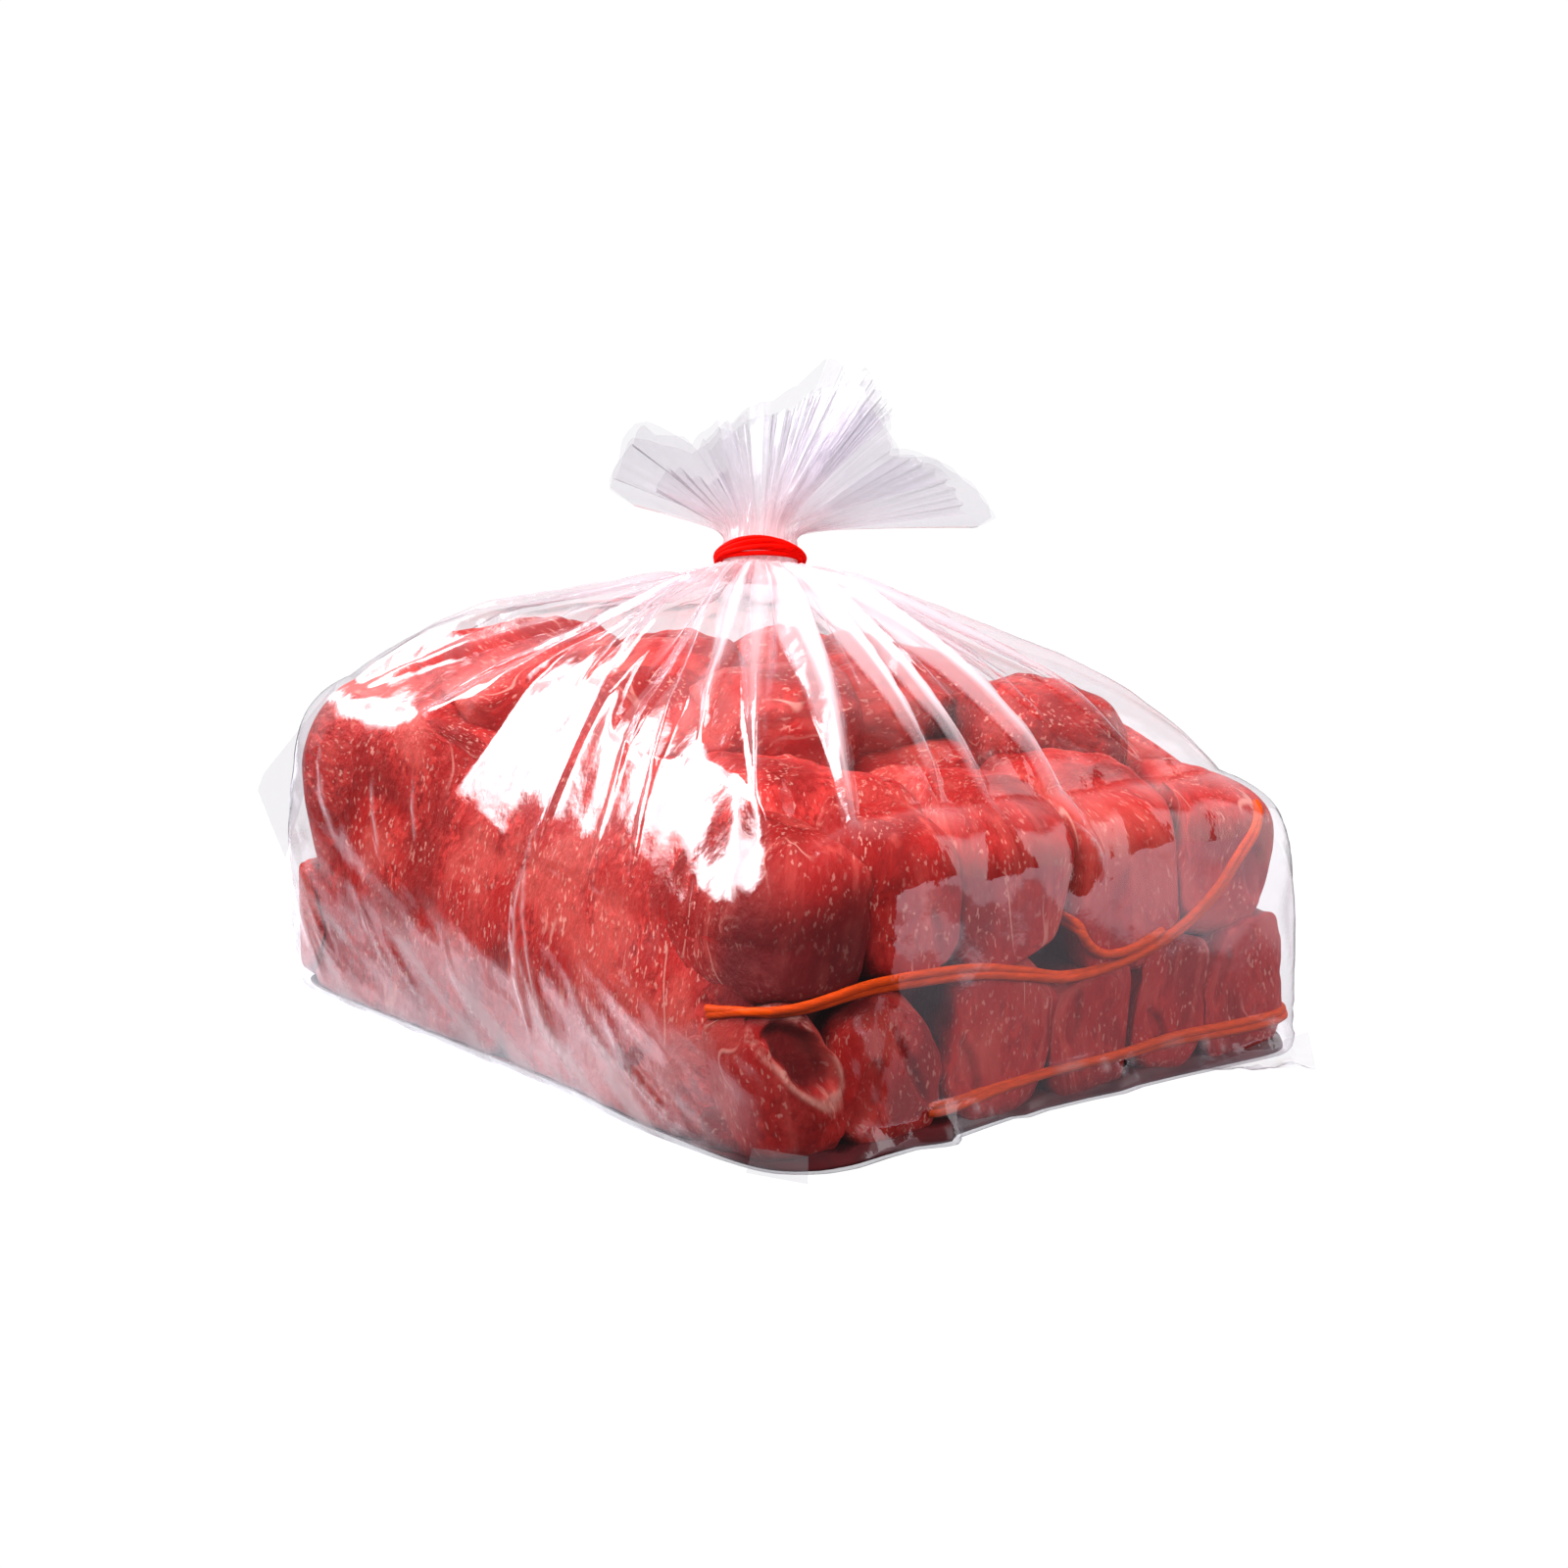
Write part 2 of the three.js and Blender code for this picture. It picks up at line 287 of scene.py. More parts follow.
NECK_TURN = np.array(Matrix.Rotation(
    -NECK_LEAN, 3, Vector((math.cos(FAN_TURN), math.sin(FAN_TURN), 0))))
NECK_AXIS = NECK_TURN @ np.array([0.0, 0.0, 1.0])
LEAN_AXIS = np.array([math.cos(FAN_TURN), math.sin(FAN_TURN), 0.0])
DEPTH_AXIS = np.cross(NECK_AXIS, LEAN_AXIS)


def neck_ring(angle, height, radius):
    """Points round the leaning neck, height along it."""
    ring = np.stack([np.cos(angle) * radius, np.sin(angle) * radius,
                     np.full_like(angle, height)], -1)
    return ring @ NECK_TURN.T + NECK_BASE


def wall_ring(angle, share, height):
    """Points round the walls: share of the wall's radius, and height above the floor."""
    reach = wall_radius(angle) * share
    return np.stack([OUTLINE_MIDDLE[0] + np.cos(angle) * reach,
                     OUTLINE_MIDDLE[1] + np.sin(angle) * reach, height], -1)


def hump(share):
    """A smooth hump between 0 and 1, highest at two thirds."""
    share = np.clip(share, 0, 1)
    return 6.75 * share ** 2 * (1 - share)


def shell_ring(angle, m):
    """One ring of the bag without its pleats: m is 0 at the neck, 1 at the shoulder's rim, 2 at
    the foot of the wall and 3 at the middle of the base. High on the chunk face the film is
    drawn out along an upright line, so that it faces two ways."""
    ring = plain_ring(angle, m)
    tent = 1.5 - 0.05 * np.abs(ring[:, 0] - 9)
    ring[:, 1] -= tent * row_side(angle) * smooth(6, 72, ring[:, 2]) * float(smooth(0.4, 1, m))
    return ring


def plain_ring(angle, m):
    """The ring before the film is drawn out. The slab's face has a higher rim than the rest, with
    two short stretches where the film is tight and so rises straight to the neck."""
    height = wall_height(angle)
    lean = wall_lean(angle)
    side = slab_side(angle)
    row = row_side(angle)
    top = rim_height(angle)
    turn = np.degrees(angle) % 360
    tight = smooth(126, 136, turn) * smooth(162, 148, turn)
    flat = np.maximum(tight, smooth(194, 199, turn) * smooth(222, 214, turn))
    slab_share = 1 - (top - 62) * (0.0087 - 0.0062 * tight)
    rim = wall_ring(angle, (0.87 - 0.5 * lean) * (1 - side) + slab_share * side, top)
    if m <= 1:  # the slope from the neck to the rim
        ring = neck_ring(angle, 0.0, NECK_RADIUS) * (1 - m) + rim * m
        ring[:, 2] += (8.0 - 5.0 * side) * (1 - 0.95 * flat) * hump(m)
        return ring
    wall_top = (0.80 - 0.05 * side + 0.16 * row) * height
    if m <= 1.3:  # the rounded shoulder
        t = (m - 1) / 0.3
        wall = wall_ring(angle, 1 - lean, wall_top)
        bend = wall_ring(angle, 0.995 - 0.9 * lean,
                         (1.03 - 0.13 * side * (1 - tight) + 0.10 * row + 0.03 * tight) * height)
        return (1 - t) ** 2 * rim + 2 * t * (1 - t) * bend + t * t * wall
    if m <= 1.95:  # the wall, upright below and leaning in above
        t = (m - 1.3) / 0.65
        z = (1 - t) * wall_top + t * 2.5
        over = np.clip((z - 26) / (wall_top - 26), 0, 1)
        return wall_ring(angle, 1 - lean * over ** 1.6, z)
    if m <= 2:  # the rounded lower edge
        t = (m - 1.95) / 0.05 * math.pi / 2
        z = np.full_like(angle, 2.5 * (1 - math.sin(t)))
        return wall_ring(angle, 1 - 0.02 * (1 - math.cos(t)), z)
    return wall_ring(angle, 0.98 * (3 - m), np.zeros_like(angle))


def pleat_list():
    """All pleats: those of the front, those of the back, and short ones close round the neck."""
    pleats = [(math.radians(pleat[0]), *pleat[1:]) for pleat in FRONT_PLEATS]
    for k in range(BACK_PLEATS):
        angle = math.radians(316 + k * 11 + 6 * chance(k, 1))
        pleats.append((angle, 0.7 + 0.6 * chance(k, 2), 4.5 + 2.5 * chance(k, 3),
                       3.5 + 2.5 * chance(k, 4), 1.2 * chance(k, 5) - 0.6, 0.5))
    for k in range(NECK_PLEATS):
        angle = math.tau * (k + 0.6 * chance(k, 6)) / NECK_PLEATS
        pleats.append((angle, 0.22 + 0.4 * chance(k, 7), 3.0 + 2.0 * chance(k, 8),
                       3.0 + 2.0 * chance(k, 9), 1.2 * chance(k, 10) - 0.6, 0.4 * chance(k, 11)))
    return pleats


def pleat_field(angle, m, reach):
    """Height of the pleats in millimetres, and their whiteness, 0 to 1: milky folded film with a
    painted highlight streak beside each ridge.
    """
    lift = np.zeros_like(angle)
    fold_milk_and_sheen = np.zeros_like(angle)
    for at, end, width, height, skew, white in pleat_list():
        u = m / end
        if u >= 1:
            continue
        shape = float(smooth(0, 0.16, u)) * (1 - u) ** 0.75
        half = np.minimum(width * shape + 0.05, 0.16 * reach)
        tall = np.minimum(height * shape, 1.25 * half)
        x = turn_between(at, angle) * reach / half
        ridge = np.where(x < skew, (x + 1) / (1 + skew), (1 - x) / (1 - skew))
        ridge = np.clip(ridge, 0, 1)
        lift = np.maximum(lift, tall * ridge)
        # Milky folded film, painted lighter on one side of the ridge than the other, with a painted
        # highlight streak just beside the ridge.
        milk_and_sheen = np.clip((1 - np.abs(x)) * 4, 0, 1) * np.where(x < skew, 0.45, 0.2)
        milk_and_sheen = np.maximum(milk_and_sheen, 1.2 * np.exp(-((x - skew + 0.32) / 0.34) ** 2))
        fold_milk_and_sheen = np.maximum(fold_milk_and_sheen, white * milk_and_sheen * min(1.0, 2.5 * shape))
    return lift, fold_milk_and_sheen


def ruff_zigzag(sweep, seed):
    """Folds of one sheet of the ruff: a zigzag with uneven steps."""
    rng = np.random.default_rng(seed)
    knots = np.cumsum(rng.uniform(0.5, 1.5, RUFF_FOLDS))
    knots = (knots - knots[0]) / (knots[-1] - knots[0])
    heights = rng.uniform(0.45, 1.0, RUFF_FOLDS) * np.where(np.arange(RUFF_FOLDS) % 2, 1, -1)
    return np.interp(sweep, knots, heights)


def ruff_place(fan, length, rim, share, left, across, depth):
    """A point of the ruff: fan in degrees, length along the film, and where it starts."""
    start = 3.5 * (1 - np.exp(-length / 3.5))
    outward = (length - start) * rim / (rim - 3.5)
    up = outward * np.sin(np.radians(fan)) + start * (1 - share) + share
    side = outward * np.cos(np.radians(fan)) + left * across
    return (NECK_BASE + np.outer(NECK_LENGTH + up, NECK_AXIS) + np.outer(side, LEAN_AXIS)
            + np.outer(depth, DEPTH_AXIS))


def ruff_ring(angle, share):
    """One ring of the ruff's outer loop, from the neck (0) to the rim (1)."""
    turn = angle - FAN_TURN
    sweep = np.arccos(np.clip(np.cos(turn), -1, 1)) / math.pi
    front = np.sin(turn) < 0
    fan = RUFF_RIM[0, 0] + (RUFF_RIM[-1, 0] - RUFF_RIM[0, 0]) * sweep
    rim = np.interp(fan, RUFF_RIM[:, 0], RUFF_RIM[:, 1])
    rim = np.where(front, rim * (1 - 0.07 * np.sin(math.pi * sweep) * (1 + np.sin(13 * sweep))),
                   rim)
    rim = rim * (1 + 0.010 * np.sin(90 * sweep + 4 * front))
    fold = np.where(front, ruff_zigzag(sweep, 5), ruff_zigzag(sweep, 8))
    ease = np.sin(math.pi * sweep) ** 0.5
    left = NECK_RADIUS * (1 - share)
    depth = (10.0 * share + left) * np.sin(turn) + 4.2 * fold * share * ease
    curl = 5.0 * share ** 2 * np.sin(math.tau * sweep + 0.6)
    return ruff_place(fan + 0.8 * fold * share, rim * share, rim, share, left, np.cos(turn),
                      depth + curl)


# Folded sheets inside the ruff: where the fan starts and ends in degrees, how long the sheet is
# as a share of the rim, how far it stands off at the neck and at the rim, and its seed.
RUFF_SHEETS = [
    (20, 74, 0.93, -5.0, 4.0, 11), (58, 118, 0.98, 2.0, 7.0, 12), (96, 160, 0.95, -3.0, -5.0, 13),
    (42, 64, 0.96, -3.0, -9.0, 17), (46, 60, 0.90, 3.0, -2.0, 18), (64, 84, 0.78, -6.0, -12.5, 14),
    (8, 34, 0.88, 4.0, 1.0, 15), (112, 150, 0.74, 4.0, 8.0, 16),
]


def ruff_sheet(first, last, factor, near, far, seed, columns=84, rows=22):
    """One folded sheet inside the ruff, as rows of points from inside the neck to its rim."""
    sweep = np.linspace(0, 1, columns)
    fan = first + (last - first) * sweep
    rim = np.interp(fan, RUFF_RIM[:, 0], RUFF_RIM[:, 1]) * factor
    rim = rim * (1 + 0.012 * np.sin(40 * sweep + seed))
    across = np.cos(np.radians(fan)) * 0.8
    fold = ruff_zigzag(sweep, seed)
    rings = []
    for share in np.linspace(0, 1, rows):
        depth = near * (1 - share) + far * share + 3.0 * fold * share
        rings.append(ruff_place(fan + 1.2 * fold * share, rim * share, rim, share,
                                8.5 * (1 - share), across, depth))
    rings = [rings[0] - 5.0 * NECK_AXIS] + rings
    return np.array(rings)


def film_shell(columns=660, rows=(7, 28, 16, 88)):
    """The smooth shell from the foot of the wall to the neck, as rings of points."""
    angle = FAN_TURN + np.arange(columns) / columns * math.tau
    base, wall, shoulder, slope = rows
    steps = np.concatenate([
        np.linspace(3, 2, base + 1)[:-1], np.linspace(2, 1.95, 4)[:-1],
        np.linspace(1.95, 1.3, wall + 1)[:-1], np.linspace(1.3, 1, shoulder + 1)[:-1],
        np.linspace(1, 0, slope + 1),
    ])
    return angle, steps, np.array([shell_ring(angle, m) for m in steps])


def shell_normals(rings):
    """The outward direction at each point of the shell."""
    around = np.roll(rings, -1, 1) - np.roll(rings, 1, 1)
    along = np.gradient(rings, axis=0)
    normal = np.cross(around, along)
    return normal / np.maximum(np.linalg.norm(normal, axis=2, keepdims=True), 1e-9)


def slanted(points):
    """Points sheared so that ripples along Y slope down towards the near corner."""
    return points - points[:, 1:2] * np.array([0.0, 0.0, 0.48])


def film_wander(points, m):
    """Slack and crinkles of the film in millimetres: more on the shoulder, little at the foot."""
    flat = points.reshape(-1, 3)
    slack = 0.9 * ripples(flat, 21, 55) + 0.25 * ripples(flat, 22, 21)
    knee = smooth(52, 62, flat[:, 2]) * (1 - smooth(80, 92, flat[:, 2])) * (flat[:, 1] < -80)
    slack += 0.7 * knee * ripples(flat, 24, 20, 9, (1.0, 4.0, 4.0))
    slack += 0.07 * ripples(flat, 23, 8, 12)
    low = (flat[:, 0] < -60) * (1 - smooth(56, 74, flat[:, 2]))
    slack += 0.15 * low * ripples(slanted(flat), 26, 8, 9, (1.0, 8.0, 1.0))
    return slack.reshape(len(m), -1) * (0.35 + 0.65 * smooth(2.0, 1.6, m))[:, None]


def crease_field(points, lines, spread):
    """Height in millimetres and whiteness of sharp creases along lines on one wall."""
    lift = np.zeros(points.shape[:-1])
    white = np.zeros(points.shape[:-1])
    for start, end, height, half in lines:
        a, b = np.array(start, float), np.array(end, float)
        along = b - a
        share = np.clip(((points - a) @ along) / (along @ along), 0, 1)
        bow = 0.10 * np.linalg.norm(along) * np.sin(math.pi * share)
        aside = np.array([-along[1], along[0]]) / np.linalg.norm(along)
        nearest = a + share[..., None] * along + bow[..., None] * aside
        far = np.linalg.norm(points - nearest, axis=-1)
        taper = np.sin(math.pi * np.clip(share, 0.02, 0.98)) ** 0.5
        lift += height * np.clip(1 - far / (half * taper + 0.01), 0, 1)
        white = np.maximum(white, taper * np.clip(1 - far / (spread * taper + 0.01), 0, 1))
    return lift, white


def folded_film(angle, steps, rings):
    """The shell with its pleats, slack, creases and foot, and how hazy the film is there, painted
    glare included.
    """
    normal = shell_normals(rings)
    lift = np.zeros(rings.shape[:2])
    fold_milk_and_sheen = np.zeros(rings.shape[:2])
    reach = np.linalg.norm(rings[:, :, :2] - NECK_BASE[:2], axis=2)
    for r, m in enumerate(steps):
        if m < 1.9:
            lift[r], fold_milk_and_sheen[r] = pleat_field(angle, m, reach[r])
            lift[r] *= float(smooth(0.0, 0.05, m))
    loose = film_wander(rings, steps)
    loose[steps >= 1.97] = 0
    loose *= smooth(0, 0.25, steps)[:, None]
    slab_lift, slab_white = crease_field(rings[:, :, 1:], SLAB_CREASES, 0.8)
    row_lift, row_white = crease_field(rings[:, :, ::2], ROW_CREASES, 0.7)
    on_slab = rings[:, :, 0] < -70
    on_rows = (rings[:, :, 1] < -95) & ~on_slab
    loose += np.where(on_slab, slab_lift, 0) + np.where(on_rows, row_lift, 0)
    creases = np.where(on_slab, slab_white, 0) + np.where(on_rows, row_white, 0)
    rings = rings + normal * (lift + loose)[:, :, None]
    rings[:, :, 2] = np.maximum(rings[:, :, 2], 0.0)
    haze_and_glare = film_haze_and_glare(angle, steps, rings, reach, fold_milk_and_sheen, creases)
    near_foot = smooth(9.0, 1.0, rings[:, :, 2])
    near_foot[steps > 2.06] = 0
    rings[:, :, 1] -= foot_lip(rings) * near_foot
    return rings, haze_and_glare


def fine_lines(angle, seed):
    """Ripples round the neck, for the fine lines that run up the gathered film."""
    circle = np.stack([np.cos(angle), np.sin(angle), 0 * angle], -1)
    return ripples(circle * 50, seed, 5.0, 12)


def film_haze_and_glare(angle, steps, rings, reach, fold_milk_and_sheen, creases):
    """How hazy the film is and where glare is painted on it: gathered at the neck, white in its
    pleats and creases, with painted highlight streaks beside the pleats' ridges, and a streaky
    painted reflection of the bright floor low on the slab's face."""
    gathered = 0.50 * np.exp(-(reach - 9) / 8) + 0.06 * np.exp(-(reach - 9) / 40)
    haze_and_glare = CLEAR_HAZE + gathered * (1 + 0.5 * fine_lines(angle, 31))
    haze_and_glare += 0.66 * fold_milk_and_sheen * smooth(1.6, 0.2, steps)[:, None]
    haze_and_glare[steps >= 1.3] = CLEAR_HAZE
    haze_and_glare += 0.42 * creases
    # Painted reflection: a streaky whitish veil low on the slab's face, where the film would mirror
    # the bright floor.
    streaks = ripples(slanted(rings.reshape(-1, 3)), 27, 8, 12, (1.0, 8.0, 1.0))
    along, up = rings[:, :, 1], rings[:, :, 2]
    low = (rings[:, :, 0] < -60) * (1 - smooth(14, 38, up - 0.16 * (along + 10)))
    return haze_and_glare + 0.38 * low * smooth(-114, -88, along) * np.clip(
        streaks.reshape(haze_and_glare.shape) + 0.15, 0, 1)


def foot_lip(points):
    """How far the foot of the chunk face stands out at each point."""
    lip = np.interp(points[..., 0], FOOT_LIP[:, 0], FOOT_LIP[:, 1])
    return lip * smooth(-104, -112, points[..., 1])


# Haze: where the film is clear, on the loose flaps, and the most there is.
CLEAR_HAZE, FLAP_HAZE, MOST_HAZE = 0.004, 0.10, 0.88

# Loose flaps of the film at three corners: four corners of each, and how far it bows and crinkles.
CORNER_FLAPS = [
    (((-79, 99, 90), (-91, 111, 38), (-97, 115, 58), (-95.5, 114, 63)), 0.4),
    (((-93, -110, 0.4), (-86.5, -125, 0.2), (-85.5, -124, 6.5), (-92.5, -112, 7)), 0.5),
    (((44, -116, 1.0), (93, -117, 4.0), (77, -134, 1.0), (60, -130, 3.5)), 1.8),
]


def flap_sheet(corners, size, count=22):
    """A thin crinkled flap between four corners, as points and quads."""
    a, b, c, d = (np.array(corner, float) for corner in corners)
    side = np.linspace(0, 1, count)
    u, v = np.meshgrid(side, side, indexing="ij")
    u, v = u[..., None], v[..., None]
    sheet = (a * (1 - u) + b * u) * (1 - v) + (d * (1 - u) + c * u) * v
    flat = sheet.reshape(-1, 3)
    normal = np.cross(b - a, d - a)
    normal /= np.linalg.norm(normal)
    bow = np.sin(math.pi * u) * np.sin(math.pi * v) * size
    crinkle = 0.5 * size * ripples(flat, 61, 12.0) + 0.25 * size * ripples(flat, 62, 5.0)
    flat = flat + normal * (bow.reshape(-1, 1) + crinkle[:, None] * v.reshape(-1, 1))
    flat[:, 2] = np.maximum(flat[:, 2], 0.15)
    return flat, ring_faces(0, count, count, closed=False)


# ---- Meshes ----
def make_mesh(name, points, faces):
    """A smooth mesh object from points in millimetres and faces that look outwards."""
    mesh = bpy.data.meshes.new(name)
    mesh.from_pydata((np.asarray(points) * MM).tolist(), [], faces)
    mesh.validate()
    mesh.update()
    mesh.polygons.foreach_set("use_smooth", [True] * len(mesh.polygons))
    return add_object(name, mesh)


def add_object(name, data):
    """Puts a mesh, a light or a camera in the scene."""
    piece = bpy.data.objects.new(name, data)
    bpy.context.scene.collection.objects.link(piece)
    return piece


def add_values(piece, name, values, kind="FLOAT"):
    """Stores one value or one vector for each point of a mesh."""
    layer = piece.data.attributes.new(name, kind, "POINT")
    key = "value" if kind == "FLOAT" else "vector"
    layer.data.foreach_set(key, np.asarray(values, np.float32).ravel())


def ring_faces(start, columns, count, closed=True):
    """Quads between consecutive rows of points; closed rows run all the way round."""
    faces = []
    for a in range(start, start + (count - 1) * columns, columns):
        for c in range(columns if closed else columns - 1):
            d = (c + 1) % columns
            faces.append((a + c, a + d, a + columns + d, a + columns + c))
    return faces


def capped_faces(columns, count):
    """Rings closed by a fan of triangles round point 0. The faces look outwards where the rings
    go out from that point along the floor and then up."""
    cap = [(0, 1 + (c + 1) % columns, 1 + c) for c in range(columns)]
    return cap + ring_faces(1, columns, count)


def cube_sphere(n):
    """Unit directions and quads of a cube blown up to a sphere, n by n quads on each side."""
    index, points, faces = {}, [], []
    line = np.tan(np.linspace(-math.pi / 4, math.pi / 4, n + 1))
    for axis in range(3):
        for sign in (-1, 1):
            ids = np.zeros((n + 1, n + 1), int)
            for i in range(n + 1):
                for j in range(n + 1):
                    p = [0.0, 0.0, 0.0]
                    p[axis] = float(sign)
                    p[(axis + 1) % 3] = line[i]
                    p[(axis + 2) % 3] = line[j]
                    key = tuple(round(v, 5) for v in p)
                    if key not in index:
                        index[key] = len(points)
                        points.append(p)
                    ids[i, j] = index[key]
            for i in range(n):
                for j in range(n):
                    quad = [ids[i, j], ids[i + 1, j], ids[i + 1, j + 1], ids[i, j + 1]]
                    faces.append(quad if sign > 0 else quad[::-1])
    points = np.array(points)
    return points / np.linalg.norm(points, axis=1, keepdims=True), np.array(faces)


class Inside:
    """The space inside the film, seen from the middle of the bag: how far the film is that way."""

    MIDDLE = np.array([0.0, 0.0, 42.0])

    def __init__(self):
        _, _, rings = film_shell(180, (6, 14, 8, 20))
        faces = ring_faces(0, rings.shape[1], len(rings))
        tree = BVHTree.FromPolygons(rings.reshape(-1, 3).tolist(), faces)
        self.table = np.full((181, 361), 130.0)
        start = Vector(self.MIDDLE)
        for i in range(181):
            rise = math.radians(i - 90)
            for j in range(361):
                turn = math.radians(j - 180)
                way = Vector((math.cos(turn) * math.cos(rise), math.sin(turn) * math.cos(rise),
                              math.sin(rise)))
                hit = tree.ray_cast(start, way)
                if hit[0] is not None:
                    self.table[i, j] = (hit[0] - start).length

    def reach(self, ways):
        """How far the film is from the middle along each direction."""
        rise = np.degrees(np.arcsin(np.clip(ways[:, 2], -1, 1))) + 90
        turn = np.degrees(np.arctan2(ways[:, 1], ways[:, 0])) + 180
        i = np.clip(rise.astype(int), 0, 179)
        j = np.clip(turn.astype(int), 0, 359)
        s, t = rise - i, turn - j
        grid = self.table
        return ((grid[i, j] * (1 - t) + grid[i, j + 1] * t) * (1 - s)
                + (grid[i + 1, j] * (1 - t) + grid[i + 1, j + 1] * t) * s)

    def depth(self, points):
        """How far each point is inside the film, along the line from the middle."""
        out = points - self.MIDDLE
        far = np.linalg.norm(out, axis=1)
        return self.reach(out / np.maximum(far, 1e-6)[:, None]) - far

    def press(self, points, gap, soft=1.6):
        """Points pushed in until they are a gap inside the film, flattened against it."""
        out = points - self.MIDDLE
        far = np.linalg.norm(out, axis=1)
        ways = out / np.maximum(far, 1e-6)[:, None]
        room = self.reach(ways) - gap
        spare = room - far
        pressed = room - soft * np.logaddexp(0, spare / soft)
        pressed = np.minimum(pressed, far)
        return self.MIDDLE + ways * pressed[:, None]


def turned(points, turn):
    """Points turned about X, then Y, then Z, in degrees."""
    x, y, z = (Matrix.Rotation(math.radians(t), 3, axis) for t, axis in zip(turn, "XYZ"))
    return points @ np.array(z @ y @ x).T


def beef_shape(half, power, seed, ways):
    """A rounded block about its own middle, swollen, ridged along its grain and cut flat in a
    few places."""
    stretch = (np.abs(ways) ** power).sum(1) ** (-1 / power)
    shape = ways * stretch[:, None] * half
    size = half.mean()
    swell = 0.085 * size * ripples(shape, seed, 1.5 * size)
    swell = swell + 0.045 * size * ripples(shape, seed + 1, 0.6 * size)
    swell += 0.34 * ripples(shape, seed + 2, 5.0, 12, (3.0, 1.0, 1.0))
    swell += 0.45 * ripples(shape, seed + 3, 10.0, 10, (2.0, 1.0, 1.0))
    shape = shape + ways * swell[:, None]
    rng = np.random.default_rng(seed)
    for _ in range(FLAT_CUTS):
        way = rng.normal(size=3)
        way /= np.linalg.norm(way)
        over = shape @ way - rng.uniform(0.80, 0.94) * (shape @ way).max()
        shape = shape - np.outer(0.8 * np.logaddexp(0, over / 0.8), way)
    return shape


def press_hollows(points):
    """Moves the points into the hollows of the chunk face. Gives how sunk each one is, and how
    close to the pale rim of a deep hollow."""
    sunk = np.zeros(len(points))
    rim = np.zeros(len(points))
    for centre, size, tilt, deep in DENTS:
        away = points - np.array(centre, float)
        across = away[:, 0] * math.cos(tilt) + away[:, 2] * math.sin(tilt)
        upward = away[:, 2] * math.cos(tilt) - away[:, 0] * math.sin(tilt)
        far = np.sqrt((across / size[0]) ** 2 + (upward / size[1]) ** 2)
        close = np.abs(away[:, 1]) < 12
        far += 0.10 * ripples(points, 91, 7.0)
        dent = smooth(1.0, 0.60, far) * close
        if deep > RIMMED_DEPTH:
            rim = np.maximum(rim, np.exp(-((far - 1.06) / 0.10) ** 2) * close)
        points[:, 1] += deep * dent
        sunk = np.maximum(sunk, dent * min(1.0, deep / 6))
    return sunk, rim


def painted_beef_shade(points, depth, sunk):
    """Painted shade: 0 on the outside to 1 deep between the pieces, and darker in the hollows, at
    the foot, at the near left corner and low on the slab."""
    x, y, z = points.T
    between = smooth(86, 62, z) * smooth(4.5, 11.0, depth) * (1 - sunk) + 0.55 * sunk
    foot = smooth(7, 2, z) * smooth(-70, -95, y)
    corner = smooth(72, 52, z) * smooth(32, 38, z) * smooth(-80, -98, y) * smooth(-54, -66, x)
    slab = smooth(-70, -84, x) * smooth(46, 8, z)
    return np.clip(between + 0.5 * foot + 0.78 * corner + 0.42 * slab, 0, 1)


def beef_piece(spec, seed, ways, inside, upright):
    """Points, grain coordinates, tone, painted shade and pale rims of one piece of beef."""
    middle, half, turn, power = spec[:4]
    shape = beef_shape(np.array(half, float), power, seed, ways)
    points = inside.press(turned(shape, turn) + np.array(middle, float), BEEF_GAP)
    points[:, 2] = np.maximum(points[:, 2], 0.4)
    sunk, rim = press_hollows(points)
    dark = painted_beef_shade(points, inside.depth(points), sunk)
    tone = np.full(len(points), spec[4] if len(spec) > 4 else chance(seed, 3))
    grain = shape[:, ::-1] if upright else shape
    return {"points": points, "grain": (grain + seed * 37.0) * MM, "tone": tone, "dark": dark,
            "rim": rim}


def join_beef(name, specs, first_seed, details, inside, upright):
    """One mesh of several pieces of beef, with their values as attributes."""
    parts, faces, start = [], [], 0
    for k, (spec, (ways, quads)) in enumerate(zip(specs, details)):
        parts.append(beef_piece(spec, first_seed + 5 * k, ways, inside, upright))
        faces.append(quads + start)
        start += len(ways)
    joined = {key: np.concatenate([part[key] for part in parts]) for key in parts[0]}
    piece = make_mesh(name, joined["points"], np.concatenate(faces).tolist())
    add_values(piece, "grain", joined["grain"], "FLOAT_VECTOR")
    for key in ("tone", "dark", "rim"):
        add_values(piece, key, joined[key])
    return piece


